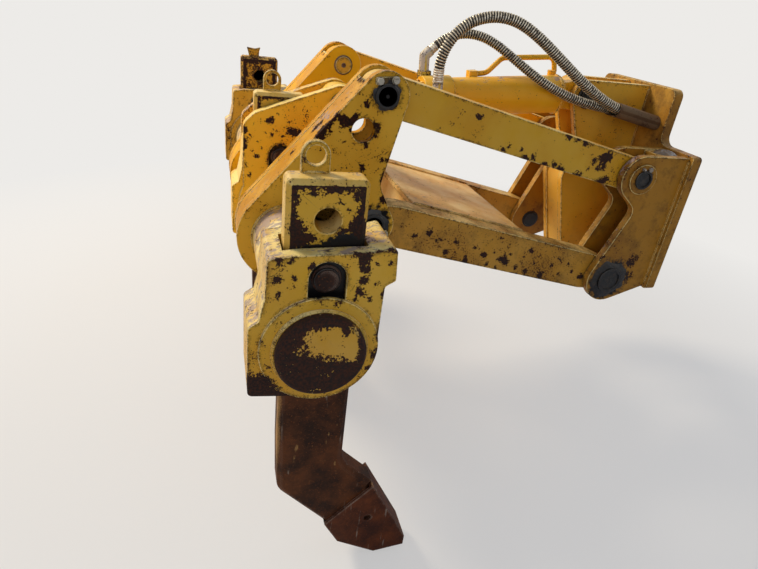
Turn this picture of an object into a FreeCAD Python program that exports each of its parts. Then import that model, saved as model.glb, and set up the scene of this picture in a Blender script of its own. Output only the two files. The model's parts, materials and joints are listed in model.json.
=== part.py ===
import FreeCAD, Part
import math
import os
import Sketcher

# Rear ripper of a crawler tractor: three shanks pinned in a tool beam, which a
# parallelogram linkage and one hydraulic cylinder carry on a bolted bracket.
# Row frame: x forward to the tractor, y to the left, z up, millimetres, with the
# origin at the centre of the bracket's mounting face.

SIZES = (
    # name, value, what it is
    ("shank_spacing", 950, "from one shank to the next along the beam"),
    ("link_length", 1034, "between the two pins of a link"),
    ("rest_angle", 12.73, "rise of the links to the rear as stored, degrees"),
    ("pin_spread", 416, "between the lower and the upper pins of bracket and beam"),
    ("pin_standoff", 223, "from the mounting face to the bracket's pins"),
    ("link_station", 325, "from the centre plane to the middle of a link"),
    ("eye_width", 84, "width of every link and cylinder eye"),
    ("eye_side_gap", 5, "free room each side of an eye"),
    ("ear_plate", 30, "thickness of a cheek or clevis plate"),
    ("seat_gap", 0.3, "radial room of a seated round"),
    ("run_gap", 0.05, "radial room of a pin in a turning eye"),
    ("link_pin_radius", 32, "pins of the upper links"),
    ("frame_pin_radius", 35, "pins of the lower frame"),
    ("pin_stand", 8, "how far a pin stands proud of its plates"),
    ("tube_radius", 108, "beam tube, outside"),
    ("tube_wall", 20, "beam tube"),
    ("beam_pin_reach", 282, "from the tube axis forward to the beam's pins"),
    ("beam_pin_rise", 44, "from the tube axis up to the beam's lower pins"),
    ("pocket_width", 178, "shank pocket over its bosses"),
    ("pocket_relief", 8, "how far the boss stands proud of the pocket's side"),
    ("boss_radius", 137, "round boss of a pocket"),
    ("pocket_flare", 160, "tube axis back to the foot of a pocket"),
    ("pocket_flare_top", 62, "tube axis up to the top of that foot"),
    ("pocket_rear", 121, "tube axis back to the top of a pocket"),
    ("pocket_front", 138, "tube axis forward to a pocket's face"),
    ("pocket_lip", 162, "tube axis forward to a pocket's top lip"),
    ("pocket_lip_height", 164, "tube axis up to the underside of the lip"),
    ("pocket_top", 226, "tube axis up to a pocket's top at the rear"),
    ("pocket_crest", 252, "tube axis up to a pocket's top at the front"),
    ("pocket_floor", 122, "tube axis down to a pocket's underside"),
    ("pocket_corner", 12, "rounding of a pocket's corners"),
    ("boss_step", 2, "how far the boss stands out of the pocket's round underside"),
    ("lip_slope", 14, "rise of the lip's underside"),
    ("lip_lean", 5, "lean of the lip's face"),
    ("crest_back", 65, "lip back to the end of the crest's slope"),
    ("crest_drop", 12, "fall of that slope"),
    ("brow_ahead", 55, "pocket's rear edge forward to the end of its slope"),
    ("brow_rise", 8, "rise of that slope"),
    ("waist_drop", 95, "pocket's rear edge down to its waist"),
    ("waist_lean", 4, "lean of the rear face down to the waist"),
    ("waist_round", 30, "rounding of the waist"),
    ("foot_lean", 16, "lean of the rear face down to the foot"),
    ("slot_gap", 5, "room round a shank in its pocket"),
    ("arch_radius", 42, "arched recess that shows the shank pin"),
    ("arch_rise", 7, "shank pin up to the recess's centre"),
    ("arch_drop", 47, "shank pin down to the recess's sill"),
    ("arch_depth", 20, "depth of the recess"),
    ("cap_radius", 104, "round cap on a pocket's outer boss"),
    ("cap_plate", 32, "thickness of that cap"),
    ("cap_edge", 8, "its chamfer"),
    ("shank_width", 76, "across a shank"),
    ("shank_edge", 12, "chamfer of a shank's long edges"),
    ("shank_rear", 82, "tube axis back to a shank's rear face"),
    ("shank_front", 96, "tube axis forward to a shank's front face"),
    ("shank_top", 383, "tube axis up to a shank's top"),
    ("shank_corner", 14, "rounding of a shank's top corners"),
    ("shank_knee", 414, "tube axis down to a shank's front knee"),
    ("shank_heel", 470, "tube axis down to the start of its heel curve"),
    ("shank_bend", 160, "length of that curve"),
    ("shank_bend_round", 200, "rounding of a shank's rear bend"),
    ("shank_knee_round", 80, "rounding of its front knee"),
    ("shank_hole_radius", 29, "cross holes of a shank"),
    ("shank_hole_pitch", 124, "between a shank's two cross holes"),
    ("shank_pin_height", 171, "tube axis up to a shank's pin"),
    ("shank_pin_ahead", 8, "tube axis forward to a shank's pin"),
    ("nose_angle", 45, "slope of a shank's foot, degrees"),
    ("foot_length", 137, "knee to the lip of the tip, along the slope"),
    ("tip_side", 10, "wall of a tip beside the shank's nose"),
    ("tip_wall", 12, "wall of a tip in front of and behind the nose"),
    ("tip_depth", 187, "lip of a tip from front to rear"),
    ("tip_heel_along", 88, "lip down the slope to a tip's heel"),
    ("tip_heel_back", 213, "lip back to that heel"),
    ("tip_toe_along", 223, "lip down the slope to a tip's toe"),
    ("tip_toe_back", 180, "lip back to that toe"),
    ("tip_length", 282, "lip down the slope to a tip's worn edge"),
    ("tip_edge_back", 104, "lip back to that edge"),
    ("tip_edge", 37, "blunt edge of a tip"),
    ("tip_solid", 100, "solid end of a tip beyond the nose"),
    ("tip_pin_radius", 11, "cross pin of a tip"),
    ("hoist_hole_radius", 21, "eye on top of a shank"),
    ("hoist_outer_radius", 31, "outside of that eye"),
    ("hoist_rise", 38, "shank's top to the eye's centre"),
    ("hoist_behind", 17, "tube axis back to the eye's centre"),
    ("hoist_plate", 16, "thickness of the eye"),
    ("hoist_side", 17, "shank's middle to the eye's middle"),
    ("stub_height", 44, "what is left of the broken eye"),
    ("clevis_wrap", 158, "clevis plate round the tube"),
    ("clevis_end", 72, "clevis plate round its pins"),
    ("clevis_throat", 292, "tube axis forward to the clevis's front edge"),
    ("clevis_throat_height", 180, "tube axis up to that place"),
    ("clevis_throat_round", 60, "rounding of that edge"),
    ("clevis_window_radius", 37, "round window in a clevis plate"),
    ("clevis_window_back", 62, "upper pin back to the window"),
    ("clevis_window_drop", 106, "upper pin down to the window"),
    ("clevis_web", 20, "closing web between two clevis plates"),
    ("clevis_web_inset", 2, "web behind the plates' edge"),
    ("swing_room", 10, "room round an eye inside its clevis"),
    ("link_half_depth", 61, "half the depth of an upper link"),
    ("frame_half_depth", 75, "half the depth of the lower frame"),
    ("frame_eye_radius", 62, "round end of a lower arm"),
    ("frame_shoulder", 92, "pin to where a lower arm has its full depth"),
    ("frame_round", 60, "rounding of a lower arm's shoulders"),
    ("frame_plate", 20, "deck plates and webs"),
    ("deck_rear", 165, "beam's pins forward to the deck"),
    ("deck_front", 388, "bracket's pins back to the deck"),
    ("mount_plate", 40, "thickness of the mounting plate"),
    ("mount_half_width", 420, "half the width of the mounting plate"),
    ("mount_bottom", 250, "origin down to the plate's lower edge"),
    ("mount_shoulder", 300, "origin up to the plate's shoulders"),
    ("mount_top", 505, "origin up to the plate's top"),
    ("mount_neck", 225, "half the width of the plate above its shoulders"),
    ("bolt_radius", 17, "mounting holes"),
    ("inner_bolt_y", 165, "inner mounting holes, from the centre plane"),
    ("inner_bolt_z", 190, "inner mounting holes, from the origin's height"),
    ("outer_bolt_z", 70, "outer mounting holes, from the origin's height"),
    ("cheek_top", 292, "origin up to a cheek's top"),
    ("cheek_foot", 240, "origin down to a cheek's foot"),
    ("cheek_upper_end", 84, "cheek round its upper pin"),
    ("cheek_lower_end", 95, "cheek round its lower pin"),
    ("cheek_throat", 205, "mounting face back to a cheek's throat"),
    ("cheek_throat_height", 85, "origin up to that throat"),
    ("cheek_throat_round", 45, "rounding of the throat"),
    ("collar_radius", 56, "round collar on a cheek's upper pin"),
    ("collar_plate", 9, "thickness of that collar"),
    ("cheek_cap_reach", 100, "mounting plate back along the cap between two cheeks"),
    ("cheek_cap_drop", 5, "cap below the cheeks' top"),
    ("cheek_cap_plate", 20, "thickness of that cap"),
    ("head_pin_back", 315, "mounting face back to the cylinder's head pin"),
    ("head_pin_height", 435, "origin up to the head pin"),
    ("head_pin_radius", 32, "cylinder's head pin"),
    ("lug_plate", 30, "thickness of the lugs that carry the cylinder"),
    ("lug_end", 62, "lug round the head pin"),
    ("column_web", 20, "web between the two lugs"),
    ("column_web_inset", 6, "web in front of the lugs' rear edge"),
    ("column_throat_drop", 160, "head pin down to the throat of the lugs"),
    ("column_knee_drop", 335, "head pin down to the knee of the lugs"),
    ("column_knee_back", 334, "mounting face back to that knee"),
    ("column_foot_back", 236, "mounting face back to the foot of the lugs"),
    ("column_foot", 235, "origin down to the foot of lugs and web"),
    ("column_throat_round", 50, "rounding of the throat"),
    ("column_knee_round", 80, "rounding of the knee"),
    ("rod_pin_reach", 215, "tube axis forward to the cylinder's rod pin"),
    ("rod_pin_rise", 366, "tube axis up to the rod pin"),
    ("rod_pin_radius", 30, "cylinder's rod pin"),
    ("rod_ear_end", 66, "ear round the rod pin"),
    ("rod_ear_root", 68, "tube axis up to the root of the rod pin's ears"),
    ("rod_ear_shoulder", 42, "rod pin down to the ears' shoulder"),
    ("rod_ear_rear_drop", 78, "rod pin down to the ears' rear corner"),
    ("rod_ear_round", 40, "rounding of the ears' corners"),
    ("pin_head_radius", 44, "heads of the rod pin"),
    ("pin_head_plate", 10, "thickness of those heads"),
    ("barrel_radius", 71.5, "cylinder barrel, outside"),
    ("bore_radius", 63.5, "cylinder bore"),
    ("barrel_base", 95, "head pin to the barrel's full radius"),
    ("barrel_floor", 116, "head pin to the bottom of the bore"),
    ("rod_reach", 431, "barrel's mouth to the rod pin, as stored"),
    ("gland_length", 111, "barrel's mouth to the gland's face"),
    ("gland_radius", 80, "gland's flange"),
    ("gland_spigot", 40, "how far the gland goes into the barrel"),
    ("cylinder_eye_radius", 60, "outside of the cylinder's eyes"),
    ("rod_radius", 35, "piston rod"),
    ("piston_room", 119, "bottom of the bore to the piston, as stored"),
    ("piston_length", 56, "piston"),
    ("oil_tube_radius", 10, "steel oil line on the barrel"),
    ("oil_tube_rise", 135, "cylinder axis up to that line"),
    ("oil_tube_side", 28, "centre plane to that line"),
    ("oil_tube_start", 102, "barrel's mouth back to the line's start"),
    ("oil_tube_ramp", 60, "line's foot to the top of its ramp"),
    ("oil_tube_head", 102, "head pin to the line's head end"),
    ("oil_tube_bend", 42, "bends of that line"),
    ("oil_boss_radius", 17, "boss at the line's head end"),
    ("oil_saddle_half", 17, "half the saddle at the line's start"),
    ("port_side", 92, "centre plane to the right port"),
    ("port_block", 44, "side of a port block"),
    ("right_port_past", 80, "barrel's mouth to the right port"),
    ("top_port_past", 93, "barrel's mouth to the top port"),
    ("top_port_side", 30, "centre plane to the top port"),
    ("right_fitting_top", 70, "cylinder axis up to the right hose's end"),
    ("top_elbow", 145, "cylinder axis up to the bend of the top fitting"),
    ("top_elbow_lean", 50, "bend of the top fitting to the front, degrees"),
    ("top_elbow_reach", 30, "from that bend to the top hose's end"),
    ("fitting_radius", 19, "hose fittings"),
    ("outer_hose_radius", 17, "hose from the right port"),
    ("inner_hose_radius", 15, "hose from the top port"),
    ("guide_radius", 27, "rounded sides of the hose guide, outside"),
    ("guide_wall", 4, "hose guide"),
    ("guide_length", 205, "hose guide along its axis"),
    ("guide_side", 150, "centre plane to the guide"),
    ("guide_height", 370, "origin up to the guide's foot"),
    ("guide_slope", 11, "fall of the guide to the front, degrees"),
    ("hose_side", 22, "guide's axis to each hose"),
    ("ferrule_length", 60, "mounting plate to a hose's end, along the guide"),
)

doc = FreeCAD.newDocument("ripper")
sheet = doc.addObject("Spreadsheet::Sheet", "Sizes")


class Size:
    """A number together with the expression that gives it from the sheet."""

    def __init__(self, value, text=None):
        self.value = float(value)
        self.text = f"{self.value:.6f}" if text is None else text

    def __add__(self, other):
        other = size(other)
        return Size(self.value + other.value, f"({self.text} + {other.text})")

    def __sub__(self, other):
        other = size(other)
        return Size(self.value - other.value, f"({self.text} - {other.text})")

    def __mul__(self, other):
        other = size(other)
        return Size(self.value * other.value, f"({self.text} * {other.text})")

    def __truediv__(self, other):
        other = size(other)
        return Size(self.value / other.value, f"({self.text} / {other.text})")

    def __neg__(self):
        return Size(-self.value, f"(-1 * {self.text})")

    def __radd__(self, other):
        return size(other) + self

    def __rsub__(self, other):
        return size(other) - self

    def __rmul__(self, other):
        return size(other) * self


def size(number):
    return number if isinstance(number, Size) else Size(number)


def cosine(angle):
    return Size(math.cos(math.radians(angle.value)), f"cos({angle.text})")


def sine(angle):
    return Size(math.sin(math.radians(angle.value)), f"sin({angle.text})")


def direction(rise, run):
    return Size(math.degrees(math.atan2(rise.value, run.value)), f"atan2({rise.text}; {run.text})")


def distance(run, rise):
    return Size(math.hypot(run.value, rise.value), f"sqrt({run.text} ^ 2 + {rise.text} ^ 2)")


class Sheet:
    """The driving sizes by name."""


S = Sheet()
ANGLES = ("rest_angle", "nose_angle", "guide_slope", "top_elbow_lean")
for row, (name, value, meaning) in enumerate(SIZES, 1):
    sheet.set(f"A{row}", name)
    sheet.set(f"B{row}", str(value))
    sheet.set(f"C{row}", meaning)
    sheet.setAlias(f"B{row}", name)
    text = f"Sizes.{name} * 1 deg" if name in ANGLES else f"Sizes.{name}"
    setattr(S, name, Size(value, f"({text})"))
doc.recompute()

ZERO = size(0)
WHOLE_TURN = 360


# Making of the pieces

def bind(thing, prop, value):
    """Sets a property to a size and ties it to the sheet."""
    thing.setExpression(prop, size(value).text)


def place(thing, x=ZERO, y=ZERO, z=ZERO, tilt=ZERO, axis=(0, 1, 0)):
    """Puts a piece at x, y, z, turned about an axis through its own origin."""
    x, y, z, tilt = size(x), size(y), size(z), size(tilt)
    turn = FreeCAD.Rotation(FreeCAD.Vector(*axis), tilt.value)
    thing.Placement = FreeCAD.Placement(FreeCAD.Vector(x.value, y.value, z.value), turn)
    for prop, value in (("Base.x", x), ("Base.y", y), ("Base.z", z), ("Rotation.Angle", tilt)):
        bind(thing, f"Placement.{prop}", value)
    return thing


def tangent_run(one, two):
    """Ends of the line that touches two circles, or points, on their outer side."""
    (x1, z1, r1), (x2, z2, r2) = one, two
    dx, dz = x2 - x1, z2 - z1
    length = math.hypot(dx, dz)
    lean = (r1 - r2) / length
    out = math.sqrt(1 - lean * lean)
    nx = (out * dz + lean * dx) / length
    nz = (-out * dx + lean * dz) / length
    return (x1 + r1 * nx, z1 + r1 * nz), (x2 + r2 * nx, z2 + r2 * nz)


def sketch_outline(sketch, corners):
    """Draws a closed outline, counter-clockwise, and fixes every corner.

    A corner is (x, z), a sharp point, (x, z, "round", radius), a rounded corner, or
    (x, z, "about", radius), an arc round that centre that touches both its neighbours.
    """
    count = len(corners)
    circles = []
    for corner in corners:
        about = corner[3].value if len(corner) > 2 and corner[2] == "about" else 0.0
        circles.append((corner[0].value, corner[1].value, about))
    runs = [list(tangent_run(circles[i], circles[(i + 1) % count])) for i in range(count)]
    arcs = {}
    for i, corner in enumerate(corners):
        x, z, _ = circles[i]
        if len(corner) == 2:
            continue
        before, after = runs[i - 1], runs[i]
        radius = corner[3].value
        if corner[2] == "about":
            arcs[i] = (x, z, radius, True)
            continue
        ux, uz = x - before[0][0], z - before[0][1]
        vx, vz = after[1][0] - x, after[1][1] - z
        un, vn = math.hypot(ux, uz), math.hypot(vx, vz)
        ux, uz, vx, vz = ux / un, uz / un, vx / vn, vz / vn
        turn = math.atan2(ux * vz - uz * vx, ux * vx + uz * vz)
        cut = radius * math.tan(abs(turn) / 2)
        before[1] = (x - cut * ux, z - cut * uz)
        after[0] = (x + cut * vx, z + cut * vz)
        side = 1 if turn > 0 else -1
        arcs[i] = (before[1][0] - side * radius * uz, before[1][1] + side * radius * ux, radius, turn > 0)
    for start, end in runs:
        sketch.addGeometry(Part.LineSegment(FreeCAD.Vector(*start, 0), FreeCAD.Vector(*end, 0)), False)
    places = {}
    for i, (cx, cz, radius, left) in arcs.items():
        start, end = runs[i - 1][1], runs[i][0]
        if not left:
            start, end = end, start
        first = math.atan2(start[1] - cz, start[0] - cx)
        last = math.atan2(end[1] - cz, end[0] - cx)
        circle = Part.Circle(FreeCAD.Vector(cx, cz, 0), FreeCAD.Vector(0, 0, 1), radius)
        places[i] = sketch.addGeometry(Part.ArcOfCircle(circle, first, last), False)

    def fix(kind, value, *where):
        index = sketch.addConstraint(Sketcher.Constraint(kind, *where, value.value))
        sketch.setExpression(f"Constraints[{index}]", value.text)

    for i, corner in enumerate(corners):
        before, after = (i - 1) % count, i
        if i not in places:
            sketch.addConstraint(Sketcher.Constraint("Coincident", before, 2, after, 1))
            fix("DistanceX", corner[0], -1, 1, after, 1)
            fix("DistanceY", corner[1], -1, 1, after, 1)
            continue
        arc = places[i]
        first, last = (1, 2) if arcs[i][3] else (2, 1)
        sketch.addConstraint(Sketcher.Constraint("Tangent", before, 2, arc, first))
        sketch.addConstraint(Sketcher.Constraint("Tangent", arc, last, after, 1))
        fix("Radius", corner[3], arc)
        if corner[2] == "about":
            fix("DistanceX", corner[0], -1, 1, arc, 3)
            fix("DistanceY", corner[1], -1, 1, arc, 3)
        else:
            point = sketch.addGeometry(Part.Point(FreeCAD.Vector(corner[0].value, corner[1].value, 0)), True)
            fix("DistanceX", corner[0], -1, 1, point, 1)
            fix("DistanceY", corner[1], -1, 1, point, 1)
            sketch.addConstraint(Sketcher.Constraint("PointOnObject", point, 1, before))
            sketch.addConstraint(Sketcher.Constraint("PointOnObject", point, 1, after))


def sketch_holes(sketch, holes):
    """Draws round holes, each (x, z, radius)."""
    for x, z, radius in holes:
        circle = Part.Circle(FreeCAD.Vector(x.value, z.value, 0), FreeCAD.Vector(0, 0, 1), radius.value)
        hole = sketch.addGeometry(circle, False)
        for kind, value, where in (
            ("DistanceX", x, (-1, 1, hole, 3)),
            ("DistanceY", z, (-1, 1, hole, 3)),
            ("Radius", radius, (hole,)),
        ):
            index = sketch.addConstraint(Sketcher.Constraint(kind, *where, value.value))
            sketch.setExpression(f"Constraints[{index}]", value.text)


def new_sketch(body, plane):
    sketch = body.newObject("Sketcher::SketchObject", f"{body.Name}_outline")
    support = [face for face in body.Origin.OriginFeatures if face.Role == plane][0]
    sketch.AttachmentSupport = [(support, "")]
    sketch.MapMode = "FlatFace"
    return sketch


def sized(corners):
    return [tuple(size(v) if isinstance(v, (int, float)) else v for v in corner) for corner in corners]


def plate(name, corners, thickness, y=ZERO, holes=(), plane="XZ_Plane"):
    """A flat plate of an outline in x and z, its middle at y."""
    body = doc.addObject("PartDesign::Body", name)
    sketch = new_sketch(body, plane)
    sketch_outline(sketch, sized(corners))
    sketch_holes(sketch, sized(holes))
    pad = body.newObject("PartDesign::Pad", f"{name}_pad")
    pad.Profile = sketch
    pad.Midplane = True
    bind(pad, "Length", thickness)
    return place(body, y=y)


def turned(name, profile, y=ZERO):
    """A turned piece about the y axis, of an outline of radius and y."""
    body = doc.addObject("PartDesign::Body", name)
    sketch = new_sketch(body, "XY_Plane")
    sketch_outline(sketch, sized(profile))
    spin = body.newObject("PartDesign::Revolution", f"{name}_turn")
    spin.Profile = sketch
    spin.ReferenceAxis = (sketch, ["V_Axis"])
    spin.Angle = WHOLE_TURN
    return place(body, y=y)


def round_bar(name, radius, length, x=ZERO, y=ZERO, z=ZERO):
    """A bar along y with its middle at x, y, z."""
    bar = doc.addObject("Part::Cylinder", name)
    bind(bar, "Radius", radius)
    bind(bar, "Height", length)
    place(bar, x, size(y) + size(length) / 2, z, size(90), (1, 0, 0))
    return bar


def long_bar(name, radius, near, far, y=ZERO, z=ZERO):
    """A bar along x from -near to -far, behind the origin."""
    bar = doc.addObject("Part::Cylinder", name)
    bind(bar, "Radius", radius)
    bind(bar, "Height", size(far) - size(near))
    place(bar, -size(near), y, z, size(-90))
    return bar


def block(name, low, high):
    """A box between two corners."""
    box = doc.addObject("Part::Box", name)
    for prop, a, b in zip(("Length", "Width", "Height"), low, high):
        bind(box, prop, size(b) - size(a))
    return place(box, *low)


def cut(name, base, *tools):
    """The base less every tool."""
    for count, tool in enumerate(tools):
        last = count == len(tools) - 1
        piece = doc.addObject("Part::Cut", name if last else f"{name}_cut{count}")
        piece.Base, piece.Tool = base, tool
        base = piece
    return base


def fuse(name, *pieces):
    whole = doc.addObject("Part::MultiFuse", name)
    whole.Shapes = list(pieces)
    whole.Refine = True
    return whole


def together(name, *pieces):
    """Pieces of one sub-part that don't touch, or that lie face to face."""
    group = doc.addObject("Part::Compound", name)
    group.Links = list(pieces)
    return group


def bent_tube(name, points, radius, limit=None):
    """A round tube along straight runs joined by tangent arcs; returns it and its radii."""
    spots = [FreeCAD.Vector(*point) for point in points]
    edges, radii, start = [], [], spots[0]
    for before, spot, after in zip(spots, spots[1:], spots[2:]):
        u, v = (spot - before).normalize(), (after - spot).normalize()
        half = u.getAngle(v) / 2
        reach = 0.45 * min((spot - before).Length, (after - spot).Length)
        bend = reach / math.tan(half)
        if limit is not None and bend > limit:
            bend, reach = limit, limit * math.tan(half)
        radii.append(bend)
        enter, leave = spot - u * reach, spot + v * reach
        inward = (v - u).normalize()
        middle = spot + inward * (bend / math.cos(half) - bend)
        edges.append(Part.LineSegment(start, enter).toShape())
        edges.append(Part.Arc(enter, middle, leave).toShape())
        start = leave
    edges.append(Part.LineSegment(start, spots[-1]).toShape())
    path = Part.Wire(edges)
    ring = Part.Wire([Part.makeCircle(radius, spots[0], (spots[1] - spots[0]))])
    piece = doc.addObject("Part::Feature", name)
    piece.Shape = path.makePipeShell([ring], True, False)
    whole = math.pi * radius ** 2 * path.Length
    print(f"{name}: length {path.Length:.0f}, volume ratio {piece.Shape.Volume / whole:.4f},",
          "radii", [round(bend) for bend in radii])
    return piece


# Places that the pieces share, in the row frame

eye_gap = S.eye_width + S.eye_side_gap * 2
pin_x = -S.pin_standoff
half_spread = S.pin_spread / 2
link_run = S.link_length * cosine(S.rest_angle)
link_rise = S.link_length * sine(S.rest_angle)
beam_x = pin_x - link_run - S.beam_pin_reach
beam_z = link_rise - half_spread - S.beam_pin_rise
beam_upper_pin = S.beam_pin_rise + S.pin_spread
head_x, head_z = -S.head_pin_back, S.head_pin_height
rod_dx = beam_x + S.rod_pin_reach - head_x
rod_dz = beam_z + S.rod_pin_rise - head_z
cylinder_tilt = direction(rod_dz, -rod_dx)
pin_distance = distance(rod_dx, rod_dz)
barrel_mouth = pin_distance - S.rod_reach
gland_end = barrel_mouth + S.gland_length
right_port = barrel_mouth + S.right_port_past
top_port = barrel_mouth + S.top_port_past
plate_middle = eye_gap / 2 + S.ear_plate / 2
half_pocket = S.pocket_width / 2
nodes = []


def on_bracket(thing):
    nodes.append(thing)
    return thing


def on_beam(thing, y=ZERO):
    nodes.append(place(thing, beam_x, y, beam_z))
    return thing


def on_lower_frame(thing):
    nodes.append(place(thing, pin_x, ZERO, -half_spread, S.rest_angle))
    return thing


def on_cylinder(thing):
    nodes.append(place(thing, head_x, ZERO, head_z, cylinder_tilt))
    return thing


SIDES = (("right", -1), ("left", 1))
STATIONS = (("right", -1), ("centre", 0), ("left", 1))


# Tool beam: tube, pockets, caps

def beam_tubes():
    inner = S.tube_radius - S.tube_wall
    near, far = half_pocket, S.shank_spacing - half_pocket
    ring = ((inner, near), (S.tube_radius, near), (S.tube_radius, far), (inner, far))
    back = ((inner, -far), (S.tube_radius, -far), (S.tube_radius, -near), (inner, -near))
    on_beam(together("beam_tubes", turned("tube_left", ring), turned("tube_right", back)))


def pocket_outline():
    """Side of a pocket; below and in front it follows the round boss."""
    return (
        (-S.pocket_flare, -S.pocket_floor, "round", S.pocket_corner),
        (ZERO, ZERO, "about", S.boss_radius - S.boss_step),
        (S.pocket_front, S.pocket_lip_height - S.lip_slope / 2, "round", S.pocket_corner),
        (S.pocket_lip, S.pocket_lip_height + S.lip_slope / 2, "round", S.pocket_corner / 2),
        (S.pocket_lip - S.lip_lean, S.pocket_crest, "round", S.pocket_corner),
        (S.pocket_lip - S.crest_back, S.pocket_crest - S.crest_drop),
        (S.brow_ahead - S.pocket_rear, S.pocket_top + S.brow_rise),
        (-S.pocket_rear, S.pocket_top, "round", S.pocket_corner),
        (-S.pocket_rear - S.waist_lean, S.pocket_top - S.waist_drop, "round", S.waist_round),
        (-S.pocket_rear - S.foot_lean, S.pocket_flare_top + S.foot_lean),
        (-S.pocket_flare, S.pocket_flare_top, "round", S.pocket_corner),
    )


def arch(name, y):
    x, sill = S.shank_pin_ahead, S.shank_pin_height - S.arch_drop
    corners = (
        (x - S.arch_radius, sill),
        (x + S.arch_radius, sill),
        (x, S.shank_pin_height + S.arch_rise, "about", S.arch_radius),
    )
    return plate(name, corners, S.arch_depth, y)


def pocket(name, station):
    y = S.shank_spacing * station
    side_face = half_pocket - S.pocket_relief
    width = side_face * 2
    casting = plate(f"{name}_body", pocket_outline(), width, y)
    boss = round_bar(f"{name}_boss", S.boss_radius, S.pocket_width, y=y)
    solids = [casting, boss]
    if station == 0:
        solids += [rod_ear(f"{name}_ear_right", -1), rod_ear(f"{name}_ear_left", 1)]
        side_face = half_pocket
    half = S.shank_width / 2 + S.slot_gap
    slot = block(
        f"{name}_slot",
        (-S.shank_rear - S.slot_gap, y - half, -S.boss_radius - 10),
        (S.shank_front + S.slot_gap, y + half, S.pocket_crest + 10),
    )
    pin_hole = round_bar(
        f"{name}_hole", S.shank_hole_radius, S.pocket_width + 20, S.shank_pin_ahead, y, S.shank_pin_height
    )
    tools = [slot, pin_hole]
    for side, sign in SIDES:
        tools.append(arch(f"{name}_arch_{side}", y + (side_face - S.arch_depth / 2) * sign))
    on_beam(cut(name, fuse(f"{name}_whole", *solids), *tools))


def rod_ear(name, sign):
    """Plate that carries the cylinder's rod pin, on top of the centre pocket."""
    thickness = half_pocket - eye_gap / 2
    corners = (
        (-S.pocket_rear, S.rod_ear_root),
        (S.pocket_front, S.rod_ear_root),
        (S.pocket_lip, S.pocket_lip_height, "round", S.rod_ear_round),
        (S.rod_pin_reach, S.rod_pin_rise, "about", S.rod_ear_end),
        (-S.shank_rear, S.rod_pin_rise - S.rod_ear_shoulder, "round", S.rod_ear_round),
        (-S.pocket_rear, S.rod_pin_rise - S.rod_ear_rear_drop, "round", S.rod_ear_round),
    )
    hole = (S.rod_pin_reach, S.rod_pin_rise, S.rod_pin_radius + S.seat_gap)
    return plate(name, corners, thickness, (eye_gap / 2 + thickness / 2) * sign, (hole,))


def end_caps():
    edge, radius = S.cap_edge, S.cap_radius
    profile = ((0, 0), (radius, 0), (radius, S.cap_plate - edge), (radius - edge, S.cap_plate), (0, S.cap_plate))
    mirrored = ((0, -S.cap_plate), (radius - edge, -S.cap_plate), (radius, edge - S.cap_plate), (radius, 0), (0, 0))
    outside = S.shank_spacing + half_pocket
    on_beam(together("end_caps", turned("cap_left", profile, outside), turned("cap_right", mirrored, -outside)))


# Shanks, tips and their pins

def nose_places():
    """Corners of the foot: the lip of the tip in front and behind, and the nose inside it."""
    u, w = cosine(S.nose_angle), sine(S.nose_angle)

    def spot(along, back):
        forward = S.foot_length + along
        return S.shank_front + forward * u - back * w, -S.shank_knee - forward * w - back * u

    nose_end = S.tip_length - S.tip_solid
    return {
        "lip": spot(ZERO, ZERO),
        "rear_lip": spot(ZERO, S.tip_depth),
        "heel": spot(S.tip_heel_along, S.tip_heel_back),
        "toe": spot(S.tip_toe_along, S.tip_toe_back),
        "edge_low": spot(S.tip_length, S.tip_edge_back),
        "edge_high": spot(S.tip_length - S.tip_edge * 0.7, S.tip_edge_back - S.tip_edge * 0.7),
        "nose_in": spot(ZERO, S.tip_wall),
        "nose_front": spot(nose_end, S.tip_edge_back - S.tip_edge + S.tip_wall),
        "nose_low": spot(nose_end - S.tip_edge / 2, S.tip_toe_back - S.tip_wall),
        "nose_heel": spot(S.tip_heel_along, S.tip_heel_back - S.tip_wall),
        "pin": spot(S.tip_heel_along, S.tip_depth / 2),
    }


def shank_outline():
    spots = nose_places()
    return (
        (-S.shank_rear, S.shank_top, "round", S.shank_corner),
        (-S.shank_rear, S.shank_bend - S.shank_heel - 20, "round", S.shank_bend_round),
        (-S.shank_rear + 4, -S.shank_heel - 20, "round", size(60)),
        spots["rear_lip"],
        spots["nose_heel"],
        spots["nose_low"],
        spots["nose_front"],
        spots["nose_in"],
        spots["lip"],
        (S.shank_front, -S.shank_knee, "round", S.shank_knee_round),
        (S.shank_front, S.shank_top, "round", S.shank_corner),
    )


def shank(side, station):
    """Forged shank with chamfered edges and two cross holes."""
    name = f"shank_{side}"
    body = plate(f"{name}_body", shank_outline(), S.shank_width)
    pad = body.Tip
    doc.recompute()
    faces = enumerate(pad.Shape.Faces, start=1)
    sides = [f"Face{number}" for number, face in faces if abs(face.normalAt(0, 0).y) > 0.99]
    edges = body.newObject("PartDesign::Chamfer", f"{name}_edges")
    edges.Base = (pad, sides)
    bind(edges, "Size", S.shank_edge)
    holes = [
        round_bar(f"{name}_hole{number}", S.shank_hole_radius, S.shank_width + 10, S.shank_pin_ahead, ZERO, height)
        for number, height in enumerate((S.shank_pin_height, S.shank_pin_height + S.shank_hole_pitch))
    ]
    on_beam(cut(name, body, *holes), S.shank_spacing * station)


def tip(side, station):
    """Worn cap over a shank's nose, held by a cross pin."""
    y = S.shank_spacing * station
    spots = nose_places()
    width = S.shank_width + S.tip_side * 2
    order = ("rear_lip", "heel", "toe", "edge_low", "edge_high", "lip")
    corners = [spots[spot] for spot in order]
    nose = plate(f"tip_{side}_nose", shank_outline(), S.shank_width + S.seat_gap * 2, y)
    x, z = spots["pin"]
    cap = plate(f"tip_{side}_cap", corners, width, y, ((x, z, S.tip_pin_radius + S.seat_gap),))
    return cut(f"tip_{side}_solid", cap, nose)


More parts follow.
